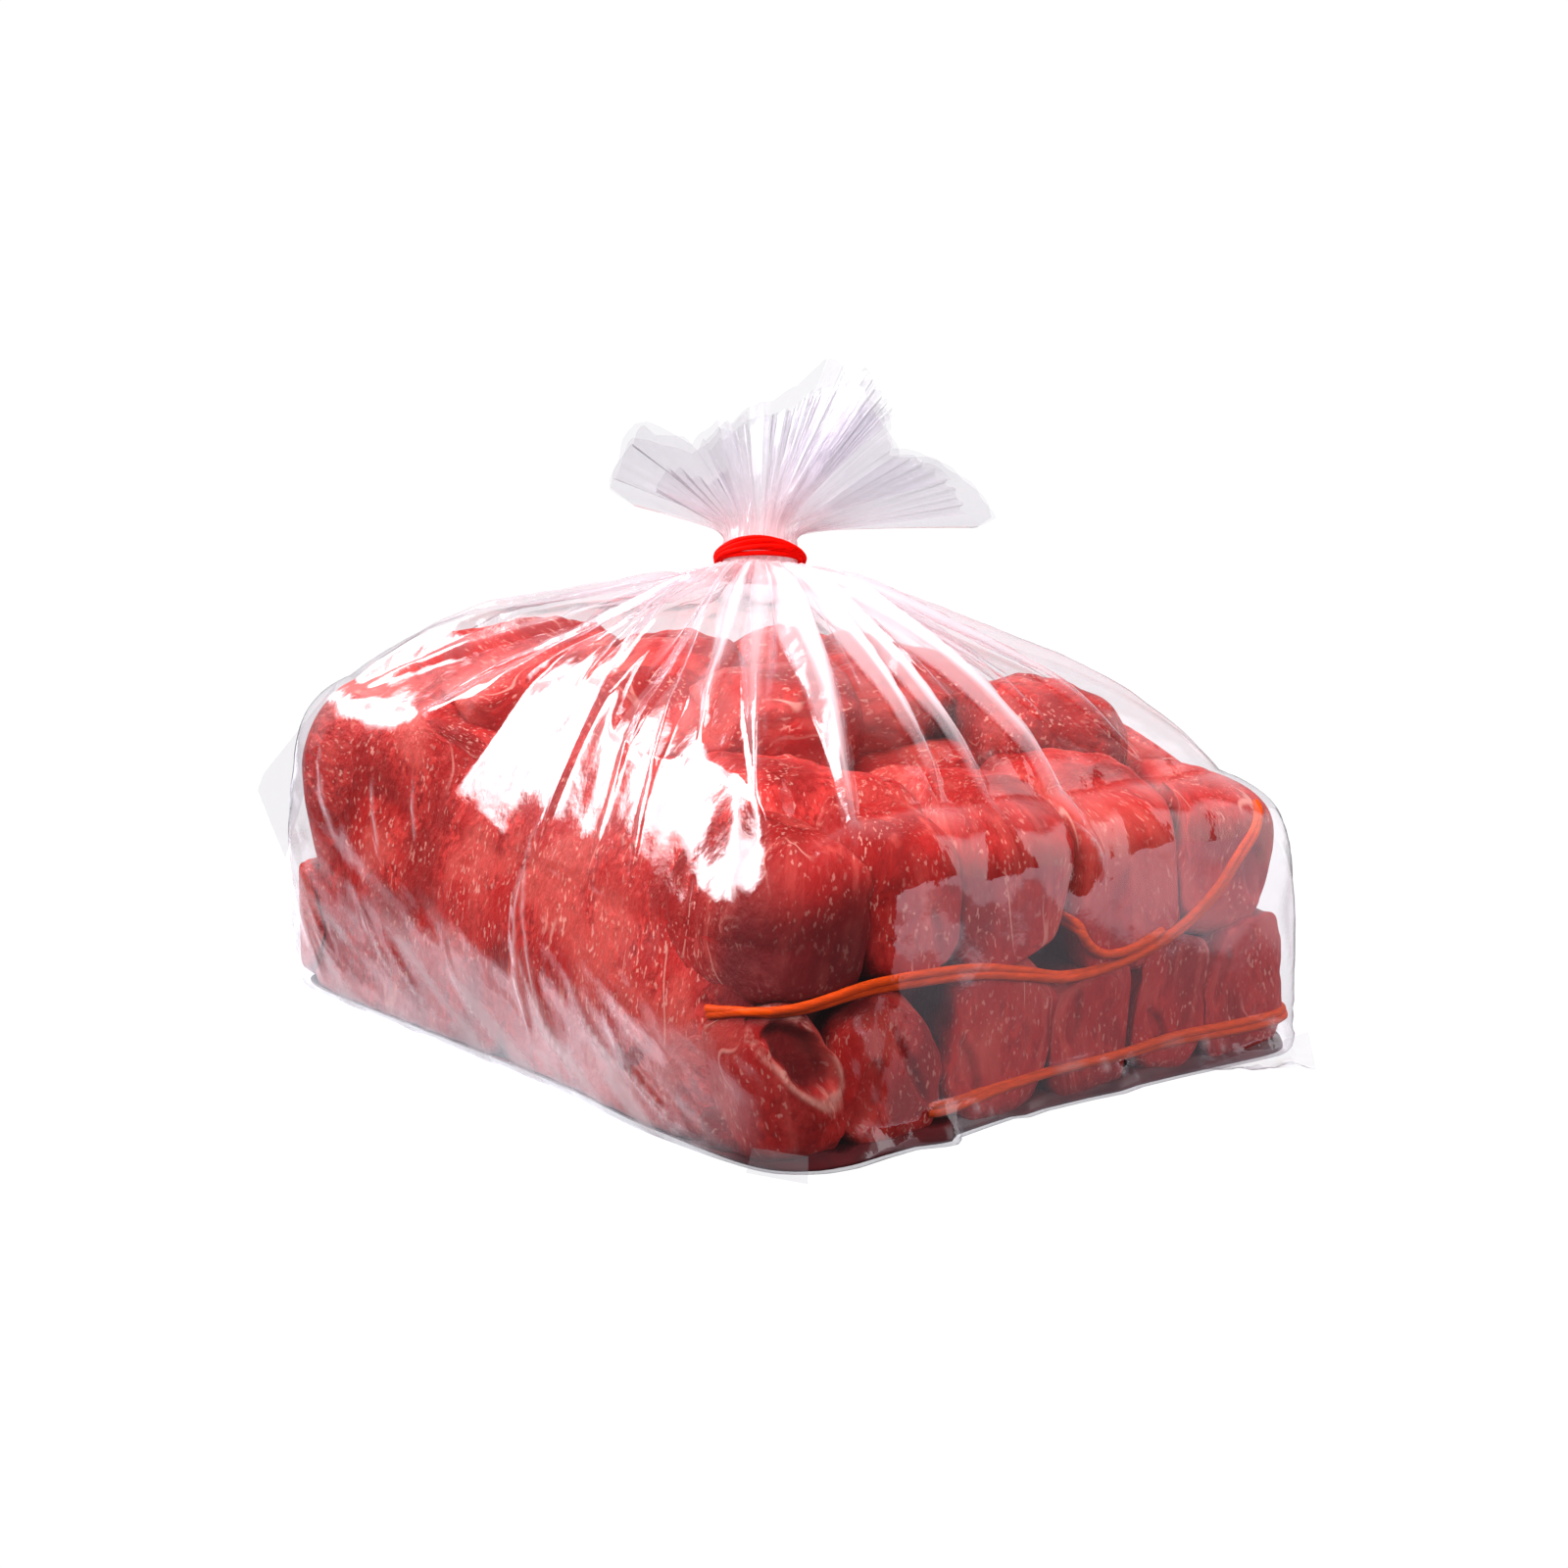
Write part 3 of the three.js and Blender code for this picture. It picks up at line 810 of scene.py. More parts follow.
# ---- Node helpers ----
class Nodes:
    """A short way to add and join nodes in one tree."""

    def __init__(self, tree):
        self.tree = tree

    def add(self, kind, inputs=None, **settings):
        """A new node with its inputs fed and its settings set."""
        node = self.tree.nodes.new(kind)
        for key, value in settings.items():
            setattr(node, key, value)
        for key, value in (inputs or {}).items():
            self.feed(node.inputs[key], value)
        return node

    def feed(self, socket, value):
        """Links a socket to another, or sets its value."""
        if isinstance(value, bpy.types.NodeSocket):
            self.tree.links.new(value, socket)
        else:
            socket.default_value = value

    def math(self, operation, a, b=0.0):
        return self.add("ShaderNodeMath", {0: a, 1: b}, operation=operation).outputs[0]

    def times(self, first, *others):
        for other in others:
            first = self.math("MULTIPLY", first, other)
        return first

    def plus(self, first, *others):
        for other in others:
            first = self.math("ADD", first, other)
        return first

    def minus(self, a, b):
        return self.math("SUBTRACT", a, b)

    def dot(self, a, b):
        both = self.add("ShaderNodeVectorMath", {0: a, 1: b}, operation="DOT_PRODUCT")
        return both.outputs["Value"]

    def split(self, vector):
        """The X, Y and Z of a vector."""
        return tuple(self.add("ShaderNodeSeparateXYZ", {0: vector}).outputs)

    def by_ray(self, seen, mirrored, lit):
        """A brightness for the camera, another for reflections and another for soft light."""
        rays = self.add("ShaderNodeLightPath").outputs
        return self.plus(self.times(rays["Is Camera Ray"], seen),
                         self.times(rays["Is Glossy Ray"], mirrored),
                         self.times(rays["Is Diffuse Ray"], lit))

    def attribute(self, name, output="Fac"):
        """A value stored on the mesh."""
        return self.add("ShaderNodeAttribute", attribute_name=name).outputs[output]

    def place(self):
        """Where a point is on its object, in metres."""
        return self.add("ShaderNodeTexCoord").outputs["Object"]

    def bump(self, strength, distance, height):
        """A normal that follows small heights, distance in metres."""
        values = {"Strength": strength, "Distance": distance, "Height": height}
        return self.add("ShaderNodeBump", values).outputs[0]

    def shader(self, kind, inputs):
        """The output of a new shader node."""
        return self.add("ShaderNode" + kind, inputs).outputs[0]

    def blend(self, factor, a, b):
        """A blend of two shaders: a at 0 and b at 1."""
        return self.shader("MixShader", {0: factor, 1: a, 2: b})

    def surface(self, shader):
        """Makes this shader the look of the material."""
        self.add("ShaderNodeOutputMaterial", {"Surface": shader})

    def mix(self, factor, a, b):
        """A blend of two colours: a at 0 and b at 1."""
        node = self.add("ShaderNodeMix", {"Factor": factor}, data_type="RGBA")
        self.feed(node.inputs[6], a)
        self.feed(node.inputs[7], b)
        return node.outputs[2]

    def ramp(self, value, low, high, start=0.0, end=1.0, kind="LINEAR"):
        """Start up to low, end from high on, and even between them."""
        return self.add("ShaderNodeMapRange", {
            "Value": value, "From Min": low, "From Max": high, "To Min": start, "To Max": end,
        }, interpolation_type=kind).outputs["Result"]

    def steps(self, value, low, high):
        """A smooth step from 0 to 1."""
        return self.ramp(value, low, high, kind="SMOOTHSTEP")

    def noise(self, vector, fineness, detail=2.0, rough=0.5):
        """Noise from 0 to 1 with its own fineness along each axis."""
        place = self.add("ShaderNodeMapping", {"Vector": vector, "Scale": fineness})
        return self.add("ShaderNodeTexNoise", {
            "Vector": place.outputs[0], "Scale": 1.0, "Detail": detail, "Roughness": rough,
        }).outputs["Fac"]


def new_nodes(owner):
    """An empty node tree of a material, a light or the world."""
    owner.use_nodes = True
    owner.node_tree.nodes.clear()
    return Nodes(owner.node_tree)


def new_material(name):
    """A new material and its empty node tree."""
    material = bpy.data.materials.new(name)
    return material, new_nodes(material)


# ---- Materials ----
def film_material(look):
    """Clear film: see-through, with a mirror-like shine that grows towards grazing angles, and
    whiter where it is gathered in folds and where highlight streaks, a reflection of the floor and
    a pink glow of the red tie are painted on it."""
    material, n = new_material("clear_film")
    coords = n.place()
    haze_and_glare = n.attribute("haze_and_glare")
    tie_glow = n.attribute("tie_glow")
    facing = n.add("ShaderNodeLayerWeight", {"Blend": 0.5}).outputs["Facing"]
    grazing = n.math("POWER", facing, 5.0)
    mirror = n.plus(n.times(grazing, 1 - look.shine), look.shine)
    crinkle = n.noise(coords, (210, 210, 210), 3.0, 0.55)
    broad = n.noise(coords, (60, 60, 60), 2.0, 0.5)
    height = n.plus(n.times(crinkle, 0.25), broad)
    bump = n.bump(0.35, 0.0012, height)
    clear = n.shader("BsdfTransparent", {"Color": (*look.film_tint, 1)})
    gloss = n.shader("BsdfGlossy", {"Color": (0.975, 0.955, 1.0, 1), "Roughness": 0.055,
                                    "Normal": bump})
    sheet = n.blend(mirror, clear, gloss)
    # Painted glow: pink where the red tie would light the gathered film close to it.
    milky = n.mix(tie_glow, (*look.milk_tint, 1), (*look.tie_glow_tint, 1))
    cloud = n.blend(0.5, n.shader("BsdfDiffuse", {"Color": milky, "Normal": bump}),
                    n.shader("BsdfTranslucent", {"Color": milky}))
    n.surface(n.blend(haze_and_glare, sheet, cloud))
    return material


def beef_material(name, look, grainy):
    """Raw beef: red muscle with streaks along the grain, thin pale lines and short flecks of
    fat, and a moist surface. Grainy is 1 for torn muscle and less for a clean cut."""
    material, n = new_material(name)
    grain = n.attribute("grain", "Vector")
    tone = n.attribute("tone")
    painted_shade = n.attribute("dark")
    bend = n.noise(grain, (40, 40, 40), 2.0)
    shift = n.add("ShaderNodeVectorMath", {0: grain, 1: n.times(bend, 0.006)},
                  operation="ADD").outputs[0]
    fibre = n.noise(shift, (190 + 110 * grainy, 400, 400), 5.0, 0.68)
    patch = n.noise(shift, (60, 110, 110), 4.0, 0.65)
    broad = n.noise(grain, (28, 34, 34), 2.0)
    dark, light = (*look.deep_red, 1), (*look.light_red, 1)
    spread = 0.10 + 0.10 * (1 - grainy)
    flesh = n.mix(n.steps(fibre, 0.5 - spread, 0.5 + spread), dark, light)
    flesh = n.mix(n.times(n.steps(patch, 0.40, 0.60), 0.35 + 0.35 * grainy),
                  (*look.middle_red, 1), flesh)
    flesh = n.mix(n.times(n.steps(broad, 0.50, 0.64), 0.55), flesh, (*look.pink, 1))
    flesh = n.mix(n.times(n.steps(broad, 0.50, 0.36), 0.75), flesh, dark)
    flesh = n.mix(n.times(tone, 0.30), flesh, dark)
    strand = n.noise(shift, (16, 170, 170), 3.0, 0.6)
    flesh = n.mix(n.times(n.steps(strand, 0.50, 0.72), 0.6 - 0.5 * grainy), flesh, (*look.pink, 1))
    vein = n.noise(grain, (9, 60, 60), 1.0, 0.5)
    line = n.minus(1.0, n.steps(n.math("ABSOLUTE", n.minus(vein, 0.5)), 0.002, 0.012))
    where = n.steps(n.noise(grain, (42, 42, 42), 1.0), 0.56, 0.70)
    fat_line = n.times(line, where, 0.45)
    speck = n.noise(grain, (430, 860, 860), 1.0, 0.5)
    few = n.steps(n.noise(grain, (90, 90, 90), 2.0), 0.35, 0.65)
    fleck = n.times(n.steps(speck, 0.60, 0.68), few, 0.20 + 0.35 * grainy)
    colour = n.mix(n.math("MAXIMUM", fat_line, fleck), flesh, (*look.fat, 1))
    # Painted shade: the shadow red laid over the beef between the pieces, in the hollows, at the
    # foot, at the near left corner and low on the slab.
    colour = n.mix(n.times(painted_shade, 0.93), colour, (*look.shadow_red, 1))
    rim = n.times(n.steps(patch, 0.42, 0.58), 0.5, n.attribute("rim"))
    colour = n.mix(rim, colour, (*look.fat, 1))
    lumps = n.noise(grain, (150, 260, 260), 3.0)
    height = n.plus(n.times(fibre, 0.35 + 0.45 * grainy), n.times(lumps, 0.5 + 0.7 * grainy),
                    n.times(fat_line, 0.3))
    bump = n.bump(0.6, 0.0013, height)
    rough = n.plus(n.times(patch, 0.3), 0.28)
    n.surface(n.shader("BsdfPrincipled", {
        "Base Color": colour, "Roughness": rough, "Normal": bump,
        "Specular IOR Level": 0.09, "Subsurface Weight": 0.10,
        "Subsurface Radius": (1.0, 0.12, 0.08), "Subsurface Scale": 0.003,
    }))
    return material


def foot_shade_material(look):
    """Dark red fill with clouds and a wet shine: painted shade under the meat at the foot of the
    bag.
    """
    material, n = new_material("painted_foot_shade")
    cloud = n.noise(n.place(), (70, 70, 120), 3.0)
    tint = n.mix(n.steps(cloud, 0.35, 0.65), (*look.shadow_red, 1), (*look.foot_shade_red, 1))
    n.surface(n.shader("BsdfPrincipled", {
        "Base Color": tint, "Roughness": 0.22, "Normal": n.bump(0.2, 0.0008, cloud)}))
    return material


def elastic_material(name, colour, roughness):
    """Rubbery elastic: one colour with slight streaks along its length and a soft shine."""
    material, n = new_material(name)
    fine = n.noise(n.place(), (300, 300, 1500), 3.0)
    tint = n.mix(n.steps(fine, 0.3, 0.75), (*[c * 0.72 for c in colour], 1), (*colour, 1))
    n.surface(n.shader("BsdfPrincipled", {
        "Base Color": tint, "Roughness": roughness, "Normal": n.bump(0.3, 0.0004, fine),
        "Specular IOR Level": 0.03,
    }))
    return material


# ---- Elastic strands by geometry nodes ----
def strand_tree(material):
    """Geometry nodes that sweep a round profile along every line of a mesh."""
    tree = bpy.data.node_groups.new("strand_sweep", "GeometryNodeTree")
    face = tree.interface
    face.new_socket("Geometry", in_out="INPUT", socket_type="NodeSocketGeometry")
    radius = face.new_socket("Radius", in_out="INPUT", socket_type="NodeSocketFloat")
    sides = face.new_socket("Sides", in_out="INPUT", socket_type="NodeSocketInt")
    face.new_socket("Geometry", in_out="OUTPUT", socket_type="NodeSocketGeometry")
    n = Nodes(tree)
    source = n.add("NodeGroupInput")
    curve = n.add("GeometryNodeMeshToCurve", {"Mesh": source.outputs["Geometry"]})
    profile = n.add("GeometryNodeCurvePrimitiveCircle", {
        "Resolution": source.outputs["Sides"], "Radius": source.outputs["Radius"]})
    tube = n.add("GeometryNodeCurveToMesh", {
        "Curve": curve.outputs[0], "Profile Curve": profile.outputs[0], "Fill Caps": True})
    shade = n.add("GeometryNodeSetShadeSmooth", {"Geometry": tube.outputs[0]})
    real = n.add("GeometryNodeRealizeInstances", {"Geometry": shade.outputs[0]})
    paint = n.add("GeometryNodeSetMaterial",
                  {"Geometry": real.outputs[0], "Material": material})
    n.add("NodeGroupOutput", {"Geometry": paint.outputs[0]})
    return tree, radius.identifier, sides.identifier


def round_route(points, count):
    """A smooth line through the points, with an even number of steps between them."""
    points = np.asarray(points, float)
    padded = np.concatenate([points[:1], points, points[-1:]])
    out = []
    for k in range(len(points) - 1):
        a, b, c, d = padded[k:k + 4]
        for t in np.arange(count) / count:
            out.append(0.5 * (2 * b + (c - a) * t + (2 * a - 5 * b + 4 * c - d) * t * t
                              + (3 * b - a - 3 * c + d) * t ** 3))
    out.append(points[-1])
    return np.array(out)


def sweep_strands(name, routes, radius, sides, material):
    """One plain mesh of round strands along the routes, radius in millimetres."""
    points, edges = [], []
    for route in routes:
        start = len(points)
        points += (np.asarray(route) * MM).tolist()
        edges += [(k, k + 1) for k in range(start, len(points) - 1)]
    mesh = bpy.data.meshes.new(name + "_lines")
    mesh.from_pydata(points, edges, [])
    lines = add_object(name + "_lines", mesh)
    tree, radius_key, sides_key = strand_tree(material)
    maker = lines.modifiers.new("strands", "NODES")
    maker.node_group = tree
    maker[radius_key] = radius * MM
    maker[sides_key] = sides
    shown = lines.evaluated_get(bpy.context.evaluated_depsgraph_get())
    result = bpy.data.meshes.new_from_object(shown)
    lines.modifiers.remove(maker)
    bpy.data.objects.remove(lines)
    result.name = name
    return add_object(name, result)


# Each turn of the tie: height along the neck, radius, and how far it slopes.
TIE_TURNS = [
    (1.5, 11.0, 0.3), (2.4, 11.3, -0.4), (3.4, 11.4, 0.4), (4.4, 11.3, -0.3), (5.3, 11.0, 0.3),
    (2.2, 11.9, 1.2), (3.0, 12.1, 1.9), (3.8, 12.1, 2.0), (4.3, 12.0, 1.6), (3.2, 11.9, -1.5),
    (4.0, 11.8, -1.2),
]
TIE_MIDDLE = 3.4  # height along the neck
WIDE_AT = math.radians(232)  # the tie is widest here and across from here


def tie_routes():
    """Turns of the tie round the neck: rings side by side, and strands that cross them."""
    routes = []
    for k, (height, radius, slope) in enumerate(TIE_TURNS):
        turn = np.linspace(0, math.tau, 97) + 0.9 * k
        spread = 0.45 + 0.55 * np.cos(turn - WIDE_AT) ** 2
        sway = slope * np.sin(turn + 0.5 * k + 0.6) * 0.8
        rise = TIE_MIDDLE + (height - TIE_MIDDLE + sway) * spread
        reach = radius + 0.12 * np.sin(5 * turn + k)
        routes.append(neck_ring(turn, rise, reach))
    return routes


# ---- Settings ----
def colour_setting(name, description, *default):
    """A colour that a user can change."""
    return bpy.props.FloatVectorProperty(name=name, description=description, default=default,
                                         subtype="COLOR", min=0, max=1)


class BagFilmLook(bpy.types.PropertyGroup):
    """How the clear film looks."""

    shine: bpy.props.FloatProperty(
        name="Shine", description="Share of light that the film mirrors head-on", default=0.09,
        min=0, max=1, subtype="FACTOR")
    film_tint: colour_setting(
        "Film tint", "Colour of what shows through one layer",
        0.970, 0.960, 0.980)
    milk_tint: colour_setting(
        "Fold tint", "Colour of the film where it is gathered",
        0.92, 0.88, 0.94)
    # Painted glow: the pink that the red tie would cast into the film close to it.
    tie_glow_tint: colour_setting(
        "Tie glow", "Colour of the tightest folds, where the tie shines through",
        0.88, 0.62, 0.65)


class BagBeefLook(bpy.types.PropertyGroup):
    """Colours of the beef, of the shade painted on it, and of the dark fill painted as shade at its
    foot.
    """

    deep_red: colour_setting("Deep red", "Colour between the fibres", 0.21, 0.003, 0.0025)
    middle_red: colour_setting("Middle red", "Colour of smooth muscle", 0.42, 0.012, 0.010)
    light_red: colour_setting("Light red", "Colour of the fibres", 0.66, 0.050, 0.040)
    pink: colour_setting("Pink", "Colour of the paler patches", 0.62, 0.095, 0.075)
    shadow_red: colour_setting("Shadow red", "Colour deep between the pieces", 0.045, 0.006, 0.008)
    # Painted shade: colour of the dark fill at the foot of the bag.
    foot_shade_red: colour_setting(
        "Foot shade red", "Colour of the juice in the foot of the bag",
        0.10, 0.007, 0.009)
    fat: colour_setting("Fat", "Colour of the fat lines", 0.85, 0.42, 0.34)


class BagElasticLook(bpy.types.PropertyGroup):
    """Colours and sizes of the elastics."""

    tie_colour: colour_setting("Tie colour", "Colour of the tie at the neck", 0.93, 0.003, 0.001)
    orange_colour: colour_setting(
        "Orange colour", "Colour of the elastics in the bag",
        0.66, 0.060, 0.004)
    orange_radius: bpy.props.FloatProperty(
        name="Orange radius", description="Radius of one strand of the elastics in the bag",
        default=0.00115, min=0.0005, unit="LENGTH")
    tie_radius: bpy.props.FloatProperty(
        name="Tie strand radius", description="Radius of one strand of the tie",
        default=0.00066, min=0.0003, unit="LENGTH")


class BagStageLook(bpy.types.PropertyGroup):
    """Sizes and lights of the stage."""

    floor_size: bpy.props.FloatProperty(
        name="Floor size", description="Half the width of the floor", default=6.0, unit="LENGTH")
    key_power: bpy.props.FloatProperty(
        name="Key light", description="Power of the large light behind on the left",
        default=26.0, min=0, unit="POWER")
    fill_power: bpy.props.FloatProperty(
        name="Fill light", description="Power of the soft light on the left",
        default=18.0, min=0, unit="POWER")


class BagSettings(bpy.types.PropertyGroup):
    """Everything that can be set for the bag."""

    film: bpy.props.PointerProperty(type=BagFilmLook)
    beef: bpy.props.PointerProperty(type=BagBeefLook)
    elastic: bpy.props.PointerProperty(type=BagElasticLook)
    stage: bpy.props.PointerProperty(type=BagStageLook)


# ---- Operators ----
class BAG_OT_film(bpy.types.Operator):
    """Makes the film: base, walls, pleated shoulder, neck and ruff"""

    bl_idname = "beef_bag.film"
    bl_label = "Film"

    def execute(self, context):
        material = film_material(context.scene.beef_bag.film)
        self.bag(material)
        self.ruff(material)
        return {"FINISHED"}

    def bag(self, material):
        """The closed film from the base to the neck, with its loose flaps."""
        rings, haze_and_glare = folded_film(*film_shell())
        points = np.concatenate([[rings[0].mean(0)], rings[1:].reshape(-1, 3)])
        values = np.concatenate([[CLEAR_HAZE], haze_and_glare[1:].ravel()])
        # Each face starts at its second corner, so that the quads are split along the creases.
        faces = [f[1:] + f[:1] for f in capped_faces(rings.shape[1], len(rings) - 1)]
        for corners, size in CORNER_FLAPS:
            sheet, sheet_faces = flap_sheet(corners, size)
            faces += [tuple(i + len(points) for i in f) for f in sheet_faces]
            points = np.concatenate([points, sheet])
            values = np.concatenate([values, np.full(len(sheet), FLAP_HAZE)])
        self.piece("film", points, faces, values, material)

    def ruff(self, material):
        """The neck, the outer loop of the ruff and the folded sheets inside it."""
        heights = np.linspace(0, NECK_LENGTH, 7)
        shares = np.linspace(0, 1, 41)[1:]
        angle = FAN_TURN + np.arange(600) / 600 * math.tau
        lines = fine_lines(angle, 32)
        rings = [neck_ring(angle, h, NECK_RADIUS + 0.25 * lines) for h in heights]
        rings += [ruff_ring(angle, s) for s in shares]
        haze_and_glare = [np.full(len(angle), 0.62) for _ in heights]
        haze_and_glare += [(0.60 * math.exp(-5.0 * s) + 0.04) * (1 + 0.35 * lines) for s in shares]
        points, values = np.concatenate(rings), np.concatenate(haze_and_glare)
        faces = ring_faces(0, len(angle), len(rings))
        for first, last, factor, near, far, seed in RUFF_SHEETS:
            sheet = ruff_sheet(first, last, factor, near, far, seed)
            rows, columns = sheet.shape[:2]
            faces += ring_faces(len(points), columns, rows, closed=False)
            share = np.linspace(0, 1, rows)[:, None] + 0 * sheet[:, :, 0]
            streaks = ripples(np.stack([np.linspace(0, 60, columns)] * 3, -1), seed, 5.0, 12)
            white = (0.60 * np.exp(-4.5 * share) + 0.05) * (1 + 0.35 * streaks[None, :])
            points = np.concatenate([points, sheet.reshape(-1, 3)])
            values = np.concatenate([values, white.ravel()])
        self.piece("film_ruff", points, faces, values, material)

    def piece(self, name, points, faces, haze_and_glare, material):
        """A piece of film that is hazy and painted with glare as given, and painted with a pink glow
        of the red tie close to it.
        """
        piece = make_mesh(name, points, faces)
        add_values(piece, "haze_and_glare", np.clip(haze_and_glare, 0, MOST_HAZE))
        away = np.linalg.norm(np.asarray(points) - NECK_BASE - 4 * NECK_AXIS, axis=1)
        add_values(piece, "tie_glow", 0.95 * np.exp(-(np.maximum(away - 10, 0) / 17) ** 2))
        piece.data.materials.append(material)
        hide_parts("bag")
        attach(piece, "root")


class BAG_OT_beef(bpy.types.Operator):
    """Makes the beef: rows of chunks, the slab and the heap, pressed against the film"""

    bl_idname = "beef_bag.beef"
    bl_label = "Beef"

    def execute(self, context):
        look = context.scene.beef_bag.beef
        inside = Inside()
        finest, fine, plain = cube_sphere(56), cube_sphere(34), cube_sphere(18)
        heap = HEAP_PIECES + HIDDEN_PIECES
        # Name, pieces, first seed, how fine each piece is, how grainy, and upright grain or not.
        sets = [
            ("beef_rows", ROW_PIECES, 100, [fine] * len(ROW_PIECES), 0.45, True),
            ("beef_slab", SLAB_PIECES, 300, [finest] * 2 + [fine] * 5, 1.0, False),
            ("beef_heap", heap, 500, [fine] * 8 + [plain] * (len(heap) - 8), 0.8, False),
        ]
        foot_shade = self.foot_shade(look)
        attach(foot_shade, "root")
        for name, specs, seed, details, grainy, upright in sets:
            piece = join_beef(name, specs, seed, details, inside, upright)
            piece.data.materials.append(beef_material(name + "_flesh", look, grainy))
            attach(piece, "root")
        return {"FINISHED"}

    def foot_shade(self, look):
        """A dark fill in the foot of the bag, deepest along the chunk face: painted shade under the
        meat.
        """
        columns = 360
        angle = np.arange(columns) / columns * math.tau
        edge = wall_ring(angle, 0.985, np.zeros(columns))
        reach = np.linalg.norm(edge[:, :2], axis=1, keepdims=True)
        lip = foot_lip(edge)
        front = smooth(-70, -108, edge[:, 1])
        top = 0.5 + 3.6 * front + 0.7 * ripples(edge, 71, 16.0) * (0.1 + front)
        level = 1 - 0.015 * (1 - front)
        rings = []
        for share, z in ((0.0, 0.5), (0.6, 0.5), (1.0, 0.5), (1.0, 1.2), (0.995, -0.3), (0.985, 0.0),
                         (0.94, 0.4), (0.5, 0.4), (0.0, 0.4)):
            ring = edge * share * level[:, None]
            ring[:, :2] *= 1 - 0.9 / reach
            height = top + z if len(rings) > 3 else np.full(columns, z)
            if 0.98 < share:
                ring[:, 1] -= lip * smooth(8.0, 1.0, height) * 0.8
            ring[:, 2] = height if share else height.mean()
            rings.append(ring)
        points = np.concatenate([rings[0][:1]] + rings[1:-1] + [rings[-1][:1]])
        last = len(points) - 1
        faces = capped_faces(columns, len(rings) - 2)
        faces += [(last, last - columns + c, last - columns + (c + 1) % columns)
                  for c in range(columns)]
        piece = make_mesh("beef_foot_shade", points, faces)
        piece.data.materials.append(foot_shade_material(look))
        return piece


class BAG_OT_elastics(bpy.types.Operator):
    """Makes the wound red tie at the neck and the orange elastics against the film"""

    bl_idname = "beef_bag.elastics"
    bl_label = "Elastics"

    def execute(self, context):
        look = context.scene.beef_bag.elastic
        red = elastic_material("red_elastic", look.tie_colour, 0.6)
        tie = sweep_strands("tie_strands", tie_routes(), look.tie_radius / MM, 14, red)
        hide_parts("neck_tie")
        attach(tie, "root")
        orange = elastic_material("orange_elastic", look.orange_colour, 0.4)
        inside = Inside()
        routes = []
        for route in ORANGE_ROUTES:
            line = inside.press(round_route(route, 10), ORANGE_GAP, 0.4)
            twist = np.arange(len(line)) * 0.045 + 0.3
            spare = np.stack([0 * twist, 0.5 * np.sin(twist), np.cos(twist)], -1) * 0.95
            routes += [line + spare, line - spare]
        strands = sweep_strands("orange_elastics", routes, look.orange_radius / MM, 12, orange)
        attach(strands, "root")
        return {"FINISHED"}


# The camera: round from the chunk face towards the slab, up from the floor, and in metres what it
# looks at and how far off it stands.
CAMERA_TURN, CAMERA_RISE = math.radians(-38.3), math.radians(10.65)
CAMERA_TARGET, CAMERA_DISTANCE = (0.0, -0.0066, 0.0666), 0.81


